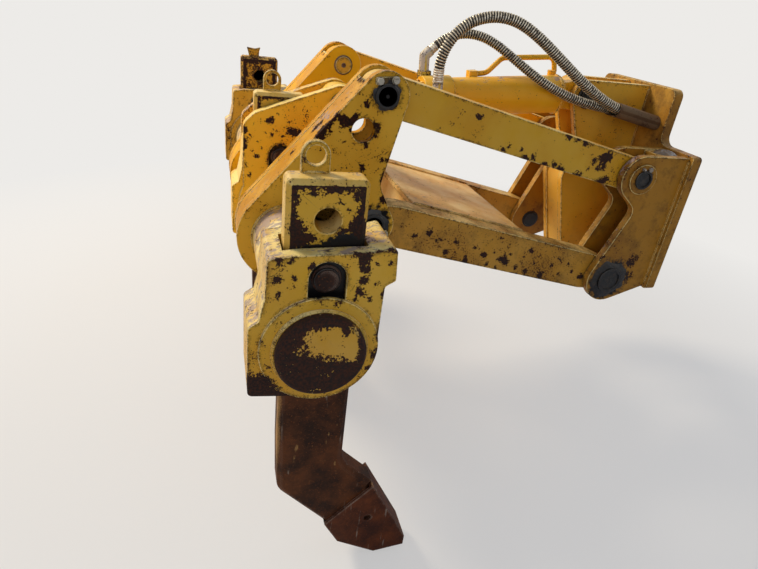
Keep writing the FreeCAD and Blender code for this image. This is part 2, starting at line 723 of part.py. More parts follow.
def ripper_tips():
    on_beam(together("ripper_tips", *(tip(side, station) for side, station in STATIONS)))


def shank_pins():
    """Pins through pockets and shanks, their ends in the arched recesses."""
    pins = []
    for side, station in STATIONS:
        face = half_pocket - (ZERO if station == 0 else S.pocket_relief)
        length = (face - S.arch_depth) * 2 + S.arch_depth
        radius = S.shank_hole_radius - S.seat_gap
        y = S.shank_spacing * station
        pins.append(round_bar(f"shank_pin_{side}", radius, length, S.shank_pin_ahead, y, S.shank_pin_height))
    on_beam(together("shank_pins", *pins))


def lifting_eyes():
    """Hoisting eyes welded on the shanks; the left one is broken off to a bent stub."""
    x, top, side = -S.hoist_behind, S.shank_top, S.hoist_side
    foot = S.hoist_outer_radius
    whole = (
        (x - foot, top),
        (x + foot, top),
        (x, top + S.hoist_rise, "about", S.hoist_outer_radius),
    )
    hole = (x, top + S.hoist_rise, S.hoist_hole_radius)
    stub = (
        (x - foot + 6, top),
        (x + foot - 10, top),
        (x + foot - 8, top + S.stub_height - 18),
        (x + foot - 3, top + S.stub_height),
        (x + 4, top + S.stub_height - 7),
        (x - foot - 5, top + S.stub_height - 3),
        (x - foot, top + S.stub_height - 22),
    )
    left = plate("hoist_stub", stub, S.hoist_plate, S.shank_spacing - side)
    right = plate("hoist_right", whole, S.hoist_plate, side - S.shank_spacing, (hole,))
    centre = plate("hoist_centre", whole, S.hoist_plate, side, (hole,))
    on_beam(together("lifting_eyes", right, centre, left))


# Clevises of the beam

def clevis_outline(inset=ZERO):
    """Belt round the tube and both pins."""
    return (
        (ZERO, ZERO, "about", S.clevis_wrap - inset),
        (S.beam_pin_reach, S.beam_pin_rise, "about", S.clevis_end - inset),
        (S.clevis_throat, S.clevis_throat_height, "round", S.clevis_throat_round),
        (S.beam_pin_reach, beam_upper_pin, "about", S.clevis_end - inset),
    )


def clevis(side, sign):
    name = f"clevis_{side}"
    y = S.link_station * sign
    seat = S.tube_radius + S.seat_gap
    upper = (S.beam_pin_reach, beam_upper_pin, S.link_pin_radius + S.seat_gap)
    lower = (S.beam_pin_reach, S.beam_pin_rise, S.frame_pin_radius + S.seat_gap)
    window = (
        S.beam_pin_reach - S.clevis_window_back,
        beam_upper_pin - S.clevis_window_drop,
        S.clevis_window_radius,
    )
    plates = [
        plate(f"{name}_plate{number}", clevis_outline(), S.ear_plate, y + plate_middle * way,
              ((ZERO, ZERO, seat), lower, upper, window))
        for number, way in enumerate((-1, 1))
    ]
    skin = plate(f"{name}_skin", clevis_outline(S.clevis_web_inset), eye_gap, y)
    deep = S.clevis_web_inset + S.clevis_web
    front = S.beam_pin_reach + S.clevis_wrap
    room = (
        (ZERO, ZERO, "about", S.clevis_wrap - deep),
        (front, -S.clevis_wrap * 2),
        (front, beam_upper_pin + S.clevis_wrap),
        (S.beam_pin_reach, beam_upper_pin, "about", S.clevis_end - deep),
    )
    inside = plate(f"{name}_inside", room, eye_gap + 2, y)
    upper_room = S.link_half_depth + S.swing_room
    web = cut(
        f"{name}_web",
        skin,
        inside,
        round_bar(f"{name}_room", upper_room, eye_gap + 2, S.beam_pin_reach, y, beam_upper_pin),
    )
    on_beam(fuse(name, *plates, web))


def clevis_pins():
    length = eye_gap + (S.ear_plate + S.pin_stand) * 2
    pins = []
    for side, sign in SIDES:
        y = S.link_station * sign
        pins.append(round_bar(f"beam_upper_pin_{side}", S.link_pin_radius, length, S.beam_pin_reach, y, beam_upper_pin))
        pins.append(round_bar(f"beam_lower_pin_{side}", S.frame_pin_radius, length, S.beam_pin_reach, y, S.beam_pin_rise))
    on_beam(together("beam_pins", *pins))


def rod_pin_ends():
    """The rod pin's two ends, in the ears; its middle turns with the rod's eye."""
    inner, outer = eye_gap / 2, half_pocket
    radius, head = S.rod_pin_radius, S.pin_head_radius
    far = outer + S.pin_head_plate
    left = ((0, inner), (radius, inner), (radius, outer), (head, outer), (head, far), (0, far))
    right = ((0, -far), (head, -far), (head, -outer), (radius, -outer), (radius, -inner), (0, -inner))
    ends = []
    for side, profile in (("left", left), ("right", right)):
        end = turned(f"rod_pin_{side}", profile)
        ends.append(place(end, S.rod_pin_reach, ZERO, S.rod_pin_rise))
    on_beam(together("rod_pin_ends", *ends))


# Links and lower frame

def upper_link(side, sign):
    name = f"upper_link_{side}"
    hole = S.link_pin_radius + S.run_gap
    corners = (
        (ZERO, ZERO, "about", S.link_half_depth),
        (-S.link_length, ZERO, "about", S.link_half_depth),
    )
    link = plate(name, corners, S.eye_width, ZERO, ((ZERO, ZERO, hole), (-S.link_length, ZERO, hole)))
    nodes.append(place(link, pin_x, S.link_station * sign, half_spread, S.rest_angle))


def lower_arm(side, sign):
    """Box arm with an eye at each end."""
    depth, far = S.frame_half_depth, S.link_length - S.frame_shoulder
    corners = (
        (ZERO, ZERO, "about", S.frame_eye_radius),
        (-S.frame_shoulder, depth, "round", S.frame_round),
        (-far, depth, "round", S.frame_round),
        (-S.link_length, ZERO, "about", S.frame_eye_radius),
        (-far, -depth, "round", S.frame_round),
        (-S.frame_shoulder, -depth, "round", S.frame_round),
    )
    hole = S.frame_pin_radius + S.run_gap
    arm = plate(
        f"lower_arm_{side}", corners, S.eye_width, S.link_station * sign,
        ((ZERO, ZERO, hole), (-S.link_length, ZERO, hole)),
    )
    outer = together(f"lower_arm_{side}_node", arm)
    outer.Label = f"frame_arm_{side}"
    on_lower_frame(outer)


def deck():
    half = S.link_station - S.eye_width / 2
    rear, front = -S.link_length + S.deck_rear, -S.deck_front
    top, skin = S.frame_half_depth, S.frame_plate
    on_lower_frame(together(
        "deck_plates",
        block("deck_top", (rear, -half, top - skin), (front, half, top)),
        block("deck_bottom", (rear, -half, -top), (front, half, skin - top)),
    ))
    on_lower_frame(together(
        "deck_webs",
        block("deck_rear_web", (rear + skin, -half, skin - top), (rear + skin * 2, half, top - skin)),
        block("deck_front_web", (front - skin * 2, -half, skin - top), (front - skin, half, top - skin)),
    ))


# Bracket

def mount_plate():
    wide, neck, bottom = S.mount_half_width, S.mount_neck, -S.mount_bottom
    corners = (
        (-wide, bottom, "round", size(15)),
        (wide, bottom, "round", size(15)),
        (wide, S.mount_shoulder, "round", size(15)),
        (neck, S.mount_shoulder, "round", size(40)),
        (neck, S.mount_top, "round", size(30)),
        (-neck, S.mount_top, "round", size(30)),
        (-neck, S.mount_shoulder, "round", size(40)),
        (-wide, S.mount_shoulder, "round", size(15)),
    )
    holes = []
    for y_sign in (-1, 1):
        for z_sign in (-1, 1):
            holes.append((S.inner_bolt_y * y_sign, S.inner_bolt_z * z_sign, S.bolt_radius))
            holes.append((S.link_station * y_sign, S.outer_bolt_z * z_sign, S.bolt_radius))
    body = plate("mount_plate", corners, S.mount_plate, ZERO, holes, "YZ_Plane")
    on_bracket(place(body, -S.mount_plate / 2))


def cheek_outline():
    face = -S.mount_plate
    return (
        (face, -S.cheek_foot),
        (face, S.cheek_top),
        (pin_x, half_spread, "about", S.cheek_upper_end),
        (-S.cheek_throat, S.cheek_throat_height, "round", S.cheek_throat_round),
        (pin_x, -half_spread, "about", S.cheek_lower_end),
    )


def cheeks(side, sign):
    """Two parallel plates and a cap; they carry the front pins of an upper link and a lower arm."""
    upper = (pin_x, half_spread, S.link_pin_radius + S.seat_gap)
    lower = (pin_x, -half_spread, S.frame_pin_radius + S.seat_gap)
    plates = [
        plate(f"cheek_{side}_{number}", cheek_outline(), S.ear_plate,
              S.link_station * sign + plate_middle * way, (upper, lower))
        for number, way in enumerate((-1, 1))
    ]
    half, middle = eye_gap / 2, S.link_station * sign
    top = S.cheek_top - S.cheek_cap_drop
    cap = block(
        f"cheek_cap_{side}",
        (-S.mount_plate - S.cheek_cap_reach, middle - half, top - S.cheek_cap_plate),
        (-S.mount_plate, middle + half, top),
    )
    on_bracket(fuse(f"cheeks_{side}", *plates, cap))


def pin_collars():
    """Round collars on the outer cheeks, round the upper pins."""
    inner, outer, thick = S.link_pin_radius + S.seat_gap, S.collar_radius, S.collar_plate
    face = S.link_station + eye_gap / 2 + S.ear_plate
    rings = []
    for side, sign in SIDES:
        low, high = (ZERO, thick) if sign > 0 else (-thick, ZERO)
        ring = turned(f"collar_{side}", ((inner, low), (outer, low), (outer, high), (inner, high)))
        rings.append(place(ring, pin_x, face * sign, half_spread))
    on_bracket(together("pin_collars", *rings))


def bracket_pins():
    length = eye_gap + (S.ear_plate + S.pin_stand) * 2
    pins = []
    for side, sign in SIDES:
        y = S.link_station * sign
        pins.append(round_bar(f"bracket_upper_pin_{side}", S.link_pin_radius, length, pin_x, y, half_spread))
        pins.append(round_bar(f"bracket_lower_pin_{side}", S.frame_pin_radius, length, pin_x, y, -half_spread))
    on_bracket(together("bracket_pins", *pins))


def cylinder_lugs():
    """Two tall plates that carry the cylinder's head pin, joined by a web."""
    face, foot, top = -S.mount_plate, -S.column_foot, S.head_pin_height + S.lug_end
    throat = (head_x - 4, head_z - S.column_throat_drop)
    knee = (-S.column_knee_back, head_z - S.column_knee_drop)
    corners = (
        (face, foot),
        (face, top),
        (head_x, head_z, "about", S.lug_end),
        (*throat, "round", S.column_throat_round),
        (*knee, "round", S.column_knee_round),
        (-S.column_foot_back, foot),
    )
    hole = (head_x, head_z, S.head_pin_radius + S.seat_gap)
    middle = eye_gap / 2 + S.lug_plate / 2
    plates = [plate(f"lug_{side}", corners, S.lug_plate, middle * sign, (hole,)) for side, sign in SIDES]
    on_bracket(together("cylinder_lugs", *plates))
    inset, web = S.column_web_inset, S.column_web
    back = (
        (-S.column_foot_back + inset, foot),
        (-S.column_foot_back + inset + web, foot),
        (knee[0] + inset + web, knee[1]),
        (throat[0] + inset + web, throat[1] - inset * 3),
        (throat[0] + inset, throat[1] - inset * 3),
        (knee[0] + inset, knee[1]),
    )
    on_bracket(together("column_web", plate("column_web_plate", back, eye_gap)))
    length = eye_gap + (S.lug_plate + S.pin_stand) * 2
    on_bracket(round_bar("head_pin", S.head_pin_radius, length, head_x, ZERO, head_z))


def flat_bar(name, radius, near, far):
    """Bar with round sides, as wide as both hoses."""
    half = S.hose_side
    rounds = [long_bar(f"{name}_{side}", radius, near, far, half * sign) for side, sign in SIDES]
    return fuse(name, *rounds, block(f"{name}_middle", (-far, -half, -radius), (-near, half, radius)))


def hose_guide():
    """Flat steel sleeve that takes both hoses to the mounting plate, with their ferrules in it."""
    past = size(40)
    pipe = cut(
        "guide_pipe",
        flat_bar("guide_outer", S.guide_radius, -past, S.guide_length),
        flat_bar("guide_inner", S.guide_radius - S.guide_wall, -past - 10, S.guide_length + 10),
    )
    place(pipe, -S.mount_plate, -S.guide_side, S.guide_height, S.guide_slope)
    ferrules = []
    for name, way, radius in (("outer", -1, S.outer_hose_radius), ("inner", 1, S.inner_hose_radius)):
        bar = long_bar(f"ferrule_{name}_bar", radius, -past, S.ferrule_length, S.hose_side * way)
        ferrules.append(bar)
    bars = fuse("ferrule_bars", *ferrules)
    place(bars, -S.mount_plate, -S.guide_side, S.guide_height, S.guide_slope)
    reach = S.guide_radius + S.hose_side * 2
    for name, thing in (("hose_guide", pipe), ("hose_ferrules", bars)):
        beyond = block(
            f"{name}_beyond",
            (-S.mount_plate, -S.guide_side - reach, S.guide_height - reach),
            (past, -S.guide_side + reach, S.guide_height + reach),
        )
        on_bracket(cut(name, thing, beyond))


# Cylinder

def barrel():
    shell = long_bar("barrel_shell", S.barrel_radius, S.barrel_base, barrel_mouth)
    bore = long_bar("barrel_bore", S.bore_radius, S.barrel_floor, barrel_mouth + 10)
    corners = (
        (ZERO, ZERO, "about", S.cylinder_eye_radius),
        (-S.barrel_base - 5, S.cylinder_eye_radius - 12),
        (-S.barrel_base - 5, -S.cylinder_eye_radius + 12),
    )
    eye = plate("barrel_eye", corners, S.eye_width)
    hole = round_bar("barrel_eye_hole", S.head_pin_radius + S.run_gap, S.eye_width + 10)
    on_cylinder(cut("cylinder_barrel", fuse("barrel_whole", shell, eye), bore, hole))


def gland():
    flange = long_bar("gland_flange", S.gland_radius, barrel_mouth, gland_end)
    spigot = long_bar(
        "gland_spigot", S.bore_radius - S.seat_gap, barrel_mouth - S.gland_spigot, barrel_mouth + 5
    )
    bore = long_bar("gland_bore", S.rod_radius + S.run_gap, barrel_mouth - S.gland_spigot - 5, gland_end + 5)
    on_cylinder(cut("cylinder_gland", fuse("gland_whole", flange, spigot), bore))


def ports():
    """Port blocks on the gland, each with an upright hose fitting."""
    half = S.port_block / 2
    inside = S.gland_radius - 14
    right = block(
        "right_block",
        (-right_port - half, -S.port_side - half, -half),
        (-right_port + half, -inside, half),
    )
    top = block(
        "top_block",
        (-top_port - half + 4, S.top_port_side - half, inside - 20),
        (-top_port + half, S.top_port_side + half, S.gland_radius + 14),
    )
    pieces = [right, top]
    low = S.gland_radius + 12
    for name, x, y, z, length, lean in (
        ("right", -right_port, -S.port_side, half - 2, S.right_fitting_top - half + 2, ZERO),
        ("top", -top_port, S.top_port_side, low, S.top_elbow - low, ZERO),
        ("elbow", -top_port, S.top_port_side, S.top_elbow, S.top_elbow_reach, S.top_elbow_lean),
    ):
        riser = doc.addObject("Part::Cylinder", f"{name}_riser")
        bind(riser, "Radius", S.fitting_radius)
        bind(riser, "Height", length)
        pieces.append(place(riser, x, y, z, lean))
    bend = doc.addObject("Part::Sphere", "elbow_bend")
    bind(bend, "Radius", S.fitting_radius)
    pieces.append(place(bend, -top_port, S.top_port_side, S.top_elbow))
    room = long_bar("port_room", S.gland_radius + S.seat_gap, barrel_mouth - 60, gland_end + 40)
    on_cylinder(cut("cylinder_ports", fuse("ports_whole", *pieces), room))


def oil_line():
    """Steel line that takes oil along the barrel to its head end."""
    side, radius, seat = S.oil_tube_side, S.oil_tube_radius, S.barrel_radius + S.oil_tube_radius
    start, head = barrel_mouth - S.oil_tube_start, S.oil_tube_head
    points = (
        (-start, side, seat - 4),
        (S.oil_tube_ramp - start, side, seat),
        (S.oil_tube_ramp * 2 - start, side, S.oil_tube_rise),
        (-head - radius, side, S.oil_tube_rise),
        (-head, side, seat),
    )
    spots = [[size(c).value for c in point] for point in points]
    line = bent_tube("oil_line_tube", spots, radius.value, S.oil_tube_bend.value)
    shell = long_bar("oil_line_room", S.barrel_radius + S.seat_gap, S.barrel_base / 2, barrel_mouth)
    inside = S.barrel_radius - S.oil_saddle_half
    boss = doc.addObject("Part::Cylinder", "oil_boss")
    bind(boss, "Radius", S.oil_boss_radius)
    bind(boss, "Height", seat + radius / 2 - inside)
    place(boss, -head - radius, side, inside)
    half = S.oil_saddle_half
    saddle = block("oil_saddle", (-start - half, side - half, inside), (half - start, side + half, seat + radius))
    on_cylinder(cut("oil_line", fuse("oil_line_whole", line, boss, saddle), shell))


def rod():
    eye_x = pin_distance
    half = S.piston_length / 2
    middle = S.barrel_floor + S.piston_room + half
    shaft = long_bar("rod_shaft", S.rod_radius, middle, eye_x - S.cylinder_eye_radius + 12)
    piston = long_bar("rod_piston", S.bore_radius - S.run_gap, middle - half, middle + half)
    on_cylinder(fuse("piston_rod", shaft, piston))
    corners = (
        (-eye_x, ZERO, "about", S.cylinder_eye_radius),
        (-eye_x + S.cylinder_eye_radius + 14, -S.rod_radius - 8),
        (-eye_x + S.cylinder_eye_radius + 14, S.rod_radius + 8),
    )
    eye = plate("rod_eye_body", corners, S.eye_width, ZERO, ((-eye_x, ZERO, S.rod_pin_radius + S.seat_gap),))
    socket = long_bar("rod_eye_socket", S.rod_radius + S.seat_gap, eye_x - S.cylinder_eye_radius - 20,
                      eye_x - S.cylinder_eye_radius + 12)
    on_cylinder(cut("rod_eye", eye, socket))
    on_cylinder(together("rod_pin_middle", round_bar("rod_pin_bar", S.rod_pin_radius, S.eye_width, -eye_x)))


# Hoses: the points between their fittings are chosen by hand

OUTER_HOSE = (
    (-950.8, -92.3, 551.2), (-926.2, -93.3, 599.4), (-889.2, -95, 639.1), (-842.1, -98, 667.2),
    (-787.7, -102, 681.6), (-731.9, -107, 680.8), (-678.1, -113, 664.7), (-613.3, -122, 630.3),
    (-535.2, -132, 580.1), (-443.1, -146, 517.0), (-358.3, -158, 464.0), (-275.0, -168, 424.0),
)
INNER_HOSE = (
    (-886.2, 28, 593.6), (-844.2, 23, 606.8), (-800.3, 14, 609.4), (-757.1, 2, 601.3),
    (-714.8, -13, 583.3), (-666.3, -33, 555.3), (-603.0, -58, 515.0), (-524.3, -84, 471.4),
    (-440.9, -104, 437.7), (-348.3, -118, 416.3), (-264.1, -126, 404.5),
)


def on_axis(start, lean, reach):
    """A place on the cylinder, and one further out along a fitting that leans forward."""
    tilt = FreeCAD.Rotation(FreeCAD.Vector(0, 1, 0), cylinder_tilt.value)
    head = FreeCAD.Vector(head_x.value, 0, head_z.value)
    first = FreeCAD.Vector(*start)
    angle = math.radians(lean)
    second = first + FreeCAD.Vector(math.sin(angle), 0, math.cos(angle)) * reach
    return [tuple(head + tilt.multVec(point)) for point in (first, second)]


def in_guide(side, *lengths):
    """Places on a ferrule's axis, lengths from the mounting plate."""
    slope = math.radians(S.guide_slope.value)
    x, y, z = -S.mount_plate.value, side - S.guide_side.value, S.guide_height.value
    return [(x - length * math.cos(slope), y, z + length * math.sin(slope)) for length in lengths]


def hoses():
    ferrule, side = S.ferrule_length.value, S.hose_side.value
    outer_start = (-right_port.value, -S.port_side.value, S.right_fitting_top.value)
    lean = math.radians(S.top_elbow_lean.value)
    inner_start = (
        math.sin(lean) * S.top_elbow_reach.value - top_port.value,
        S.top_port_side.value,
        math.cos(lean) * S.top_elbow_reach.value + S.top_elbow.value,
    )
    outer = on_axis(outer_start, 0, 54) + list(OUTER_HOSE) + in_guide(-side, 150, ferrule)
    inner = on_axis(inner_start, S.top_elbow_lean.value, 44) + list(INNER_HOSE) + in_guide(side, 150, ferrule)
    nodes.append(bent_tube("outer_hose", outer, S.outer_hose_radius.value))
    nodes.append(bent_tube("inner_hose", inner, S.inner_hose_radius.value))


beam_tubes()
for side, station in STATIONS:
    pocket(f"pocket_{side}", station)
    shank(side, station)
end_caps()
ripper_tips()
shank_pins()
lifting_eyes()
for side, sign in SIDES:
    clevis(side, sign)
    upper_link(side, sign)
    lower_arm(side, sign)
    cheeks(side, sign)
clevis_pins()
rod_pin_ends()
deck()
mount_plate()
pin_collars()
bracket_pins()
cylinder_lugs()
hose_guide()
barrel()
gland()
ports()
oil_line()
rod()
hoses()
doc.recompute()

# Check and write

faults = []
for thing in doc.Objects:
    if {"Invalid", "Error"} & set(thing.State):
        faults.append(f"{thing.Name}: {thing.State} {thing.getStatusString()}")
for node in nodes:
    if node.Shape.isNull() or not node.Shape.isValid() or not node.Shape.Solids:
        faults.append(f"{node.Label}: no valid solid")
if faults:
    raise SystemExit("\n".join(faults))
os.makedirs("parts", exist_ok=True)
for node in nodes:
    node.Shape.exportStep(f"parts/{node.Label}.step")
print(len(nodes), "nodes,", round(sum(node.Shape.Volume for node in nodes) / 1e9, 4), "cubic metres")
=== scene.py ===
"""Looks of a crawler tractor's rear ripper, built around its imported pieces.

Every length is in metres in the frame of the pieces: x forward to the tractor, y to
the left, z up, with the origin at the centre of the bracket's mounting face.
"""

import json
import logging
import math
from dataclasses import dataclass, field, replace
from enum import Enum
from typing import Mapping, Sequence

import bmesh
import bpy
import numpy as np
from mathutils import Matrix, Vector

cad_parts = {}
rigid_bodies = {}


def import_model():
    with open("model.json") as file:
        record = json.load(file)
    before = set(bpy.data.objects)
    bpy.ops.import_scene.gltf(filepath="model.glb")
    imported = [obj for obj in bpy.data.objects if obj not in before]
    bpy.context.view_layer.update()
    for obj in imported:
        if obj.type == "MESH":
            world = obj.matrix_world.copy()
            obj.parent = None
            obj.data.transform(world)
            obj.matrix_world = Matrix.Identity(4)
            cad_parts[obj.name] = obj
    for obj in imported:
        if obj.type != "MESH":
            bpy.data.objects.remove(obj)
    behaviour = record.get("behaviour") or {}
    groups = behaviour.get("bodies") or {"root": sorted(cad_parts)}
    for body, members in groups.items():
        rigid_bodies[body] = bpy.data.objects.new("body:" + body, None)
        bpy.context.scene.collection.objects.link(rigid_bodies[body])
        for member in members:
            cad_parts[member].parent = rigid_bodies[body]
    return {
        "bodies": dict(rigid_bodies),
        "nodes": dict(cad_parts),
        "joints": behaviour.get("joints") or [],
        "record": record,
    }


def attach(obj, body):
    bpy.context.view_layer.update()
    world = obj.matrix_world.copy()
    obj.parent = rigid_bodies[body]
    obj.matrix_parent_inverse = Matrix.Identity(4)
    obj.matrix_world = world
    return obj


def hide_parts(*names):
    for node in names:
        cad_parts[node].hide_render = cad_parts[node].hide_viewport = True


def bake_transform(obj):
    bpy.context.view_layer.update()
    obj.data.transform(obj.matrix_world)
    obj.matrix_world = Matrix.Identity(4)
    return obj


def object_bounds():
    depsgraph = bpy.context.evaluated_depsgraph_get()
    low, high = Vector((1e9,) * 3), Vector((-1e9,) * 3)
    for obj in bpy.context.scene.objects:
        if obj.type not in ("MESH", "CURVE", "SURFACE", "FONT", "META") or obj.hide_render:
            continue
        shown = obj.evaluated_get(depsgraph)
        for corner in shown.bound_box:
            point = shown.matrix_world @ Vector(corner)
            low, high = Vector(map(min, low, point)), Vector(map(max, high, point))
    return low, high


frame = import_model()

CAD_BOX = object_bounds()
LOG = logging.getLogger("ripper")
MM = 0.001
X_AXIS, Y_AXIS, Z_AXIS = np.eye(3)
SIDES = (("right", -1), ("left", 1))
STATIONS = (("right", -1), ("centre", 0), ("left", 1))


# Measures that the sub-assemblies share

@dataclass(frozen=True)
class Linkage:
    """Driving sizes of the parallelogram and the places of its pins.

    A pin's place is (x, z): every pin lies along y.
    """

    link_length: float = 1.034
    rest_angle: float = math.radians(12.73)
    pin_spread: float = 0.416
    pin_standoff: float = 0.223
    station: float = 0.325
    eye_width: float = 0.084
    eye_gap: float = 0.094
    ear_plate: float = 0.030
    pin_stand: float = 0.008
    beam_pin_reach: float = 0.282
    beam_pin_rise: float = 0.044
    upper_pin_radius: float = 0.032
    lower_pin_radius: float = 0.035

    def front_pin(self, upper: bool) -> np.ndarray:
        """Place of a bracket pin."""
        return np.array([-self.pin_standoff, self.pin_spread * (0.5 if upper else -0.5)])

    def rear_pin(self, upper: bool) -> np.ndarray:
        """Place of a beam pin, one link's length behind the bracket pin."""
        reach = np.array([-math.cos(self.rest_angle), math.sin(self.rest_angle)])
        return self.front_pin(upper) + self.link_length * reach

    def along_link(self, distance: float, off: float, upper: bool) -> np.ndarray:
        """Place at a distance behind a bracket pin along its link, and off its middle line."""
        back = np.array([-math.cos(self.rest_angle), math.sin(self.rest_angle)])
        up = np.array([math.sin(self.rest_angle), math.cos(self.rest_angle)])
        return self.front_pin(upper) + distance * back + off * up

    @property
    def tube(self) -> np.ndarray:
        """Place of the beam tube's axis."""
        return self.rear_pin(False) - np.array([self.beam_pin_reach, self.beam_pin_rise])

    @property
    def inner_face(self) -> float:
        """From a link's middle to the inside of a cheek or clevis plate."""
        return self.eye_gap / 2

    @property
    def outer_face(self) -> float:
        """From a link's middle to the outside of a cheek or clevis plate."""
        return self.eye_gap / 2 + self.ear_plate


LINKAGE = Linkage()


def spot(place: Sequence[float], y: float) -> np.ndarray:
    """Point of the row frame from a place (x, z) and its y."""
    return np.array([place[0], y, place[1]])


# Surfaces

@dataclass
class Shell:
    """Points and faces of a surface.

    Attributes:
        points: array (n, 3).
        faces: corner numbers of each face.
    """

    points: np.ndarray
    faces: list[tuple[int, ...]]


def joined(shells: Sequence[Shell]) -> Shell:
    """Puts surfaces into one, each with its corner numbers moved on.

    Args:
        shells: the surfaces.

    Returns:
        One surface with all points and faces.
    """
    points, faces, start = [], [], 0
    for shell in shells:
        points.append(shell.points)
        faces += [tuple(corner + start for corner in face) for face in shell.faces]
        start += len(shell.points)
    return Shell(np.vstack(points), faces)


def lofted(rings: np.ndarray, ends: bool = True, loop: bool = False) -> Shell:
    """Skin over a stack of closed rings.

    Point (i, j) is corner j of ring i; a face joins corners j and j + 1 of rings i and
    i + 1. The two ends are closed with one flat face each.

    Args:
        rings: array (rings, corners, 3).
        ends: whether the first and last ring are closed.
        loop: whether the last ring joins the first.

    Returns:
        The surface.
    """
    count, corners, _ = rings.shape
    row = np.arange(count if loop else count - 1)[:, None]
    column = np.arange(corners)[None, :]
    after = (column + 1) % corners
    low, high = row * corners, (row + 1) % count * corners
    quads = np.stack([low + column, low + after, high + after, high + column], axis=-1)
    faces = [tuple(quad) for quad in quads.reshape(-1, 4).tolist()]
    if ends and not loop:
        faces.append(tuple(range(corners - 1, -1, -1)))
        faces.append(tuple(range((count - 1) * corners, count * corners)))
    return Shell(rings.reshape(-1, 3), faces)


def unit(vectors: np.ndarray) -> np.ndarray:
    """Vectors of length one."""
    return vectors / np.linalg.norm(vectors, axis=-1, keepdims=True)


def round_profile(radius: float, corners: int) -> np.ndarray:
    """Corners of a circle: radius times (cos t, sin t)."""
    turn = np.linspace(0, 2 * math.pi, corners, endpoint=False)
    return radius * np.stack([np.cos(turn), np.sin(turn)], axis=-1)


def rounded_profile(width: float, height: float, radius: float, steps: int = 5) -> np.ndarray:
    """Corners of a rectangle whose corners are quarter circles.

    Args:
        width: full width.
        height: full height.
        radius: radius of the quarter circles.
        steps: points on each quarter circle.

    Returns:
        Array (4 * steps, 2).
    """
    turn = np.linspace(0, math.pi / 2, steps)
    quarter = radius * np.stack([np.cos(turn), np.sin(turn)], axis=-1)
    centre = np.array([width / 2 - radius, height / 2 - radius])
    parts = []
    for number in range(4):
        angle = number * math.pi / 2
        turned_by = np.array([[math.cos(angle), math.sin(angle)], [-math.sin(angle), math.cos(angle)]])
        signs = np.array([1 if number in (0, 3) else -1, 1 if number in (0, 1) else -1])
        parts.append(quarter @ turned_by + centre * signs)
    return np.vstack(parts)


def swept(
    path: np.ndarray,
    profile: np.ndarray,
    reference: np.ndarray = Y_AXIS,
    loop: bool = False,
    swell: np.ndarray | float = 1.0,
) -> Shell:
    """Profile carried along a path.

    Point (i, j) is path i plus swell i times (profile j's first measure along the side
    direction plus its second along the path's up direction). Side is the path's
    direction crossed with the reference, up is side crossed with the direction.

    Args:
        path: array (n, 3).
        profile: array (m, 2).
        reference: a direction that the path never takes.
        loop: whether the path is closed.
        swell: size of the profile at each point of the path.

    Returns:
        The surface, closed at both ends.
    """
    if loop:
        along = unit(np.roll(path, -1, axis=0) - np.roll(path, 1, axis=0))
    else:
        along = unit(np.gradient(path, axis=0))
    side = unit(np.cross(along, reference))
    up = np.cross(side, along)
    size = np.broadcast_to(np.asarray(swell, float), (len(path),))[:, None, None]
    across = profile[None, :, 0, None] * side[:, None, :] + profile[None, :, 1, None] * up[:, None, :]
    return lofted(path[:, None, :] + size * across, ends=not loop, loop=loop)


def turned(
    profile: Sequence[tuple[float, float]],
    origin: np.ndarray,
    axis: np.ndarray,
    corners: int = 32,
    twist: float = 0.0,
) -> Shell:
    """Surface turned about an axis.

    Point (i, j) is origin + axis * height i + radius i * (cos t_j, sin t_j) across it.

    Args:
        profile: (radius, height) from one end to the other.
        origin: where the height is zero.
        axis: direction of the axis.
        corners: points round the axis; six give a hexagon.
        twist: turn of the first corner, in radians.

    Returns:
        The surface, closed at both ends.
    """
    axis = unit(np.asarray(axis, float))
    helper = Z_AXIS if abs(axis[2]) < 0.9 else X_AXIS
    side = unit(np.cross(axis, helper))
    up = np.cross(side, axis)
    turn = np.linspace(0, 2 * math.pi, corners, endpoint=False) + twist
    circle = np.cos(turn)[:, None] * side + np.sin(turn)[:, None] * up
    outline = np.asarray(profile, float)
    rings = origin + outline[:, 1, None, None] * axis + outline[:, 0, None, None] * circle[None]
    return lofted(rings)


def slab(outline: np.ndarray, origin: np.ndarray, across: np.ndarray, up: np.ndarray,
         thickness: float, chamfer: float) -> Shell:
    """Flat bar of an outline with a chamfered outer edge.

    Three rings: the outline at the back, the same near the front, and at the front the
    outline drawn in by the chamfer.

    Args:
        outline: array (n, 2) about its own middle.
        origin: middle of the back face.
        across: direction of the outline's first measure.
        up: direction of its second.
        thickness: along across x up.
        chamfer: size of the chamfer.

    Returns:
        The surface.
    """
    out = np.cross(across, up)
    shrink = 1 - chamfer / np.abs(outline).max(axis=0)
    levels = ((outline, 0.0), (outline, thickness - chamfer), (outline * shrink, thickness))
    rings = np.stack([
        origin + flat[:, 0, None] * across + flat[:, 1, None] * up + height * out for flat, height in levels
    ])
    return lofted(rings)


SHARP_ANGLE = math.radians(35)
MERGE_DISTANCE = 1e-6


def make_piece(name: str, body: str, finish: bpy.types.Material,
               shells: Sequence[Shell]) -> bpy.types.Object:
    """Makes one piece of surfaces and lets it ride on a body.

    Args:
        name: name of the piece.
        body: body that carries it.
        finish: its material.
        shells: its surfaces.

    Returns:
        The piece.
    """
    piece = loose_piece(name, finish, shells)
    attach(piece, body)
    return piece


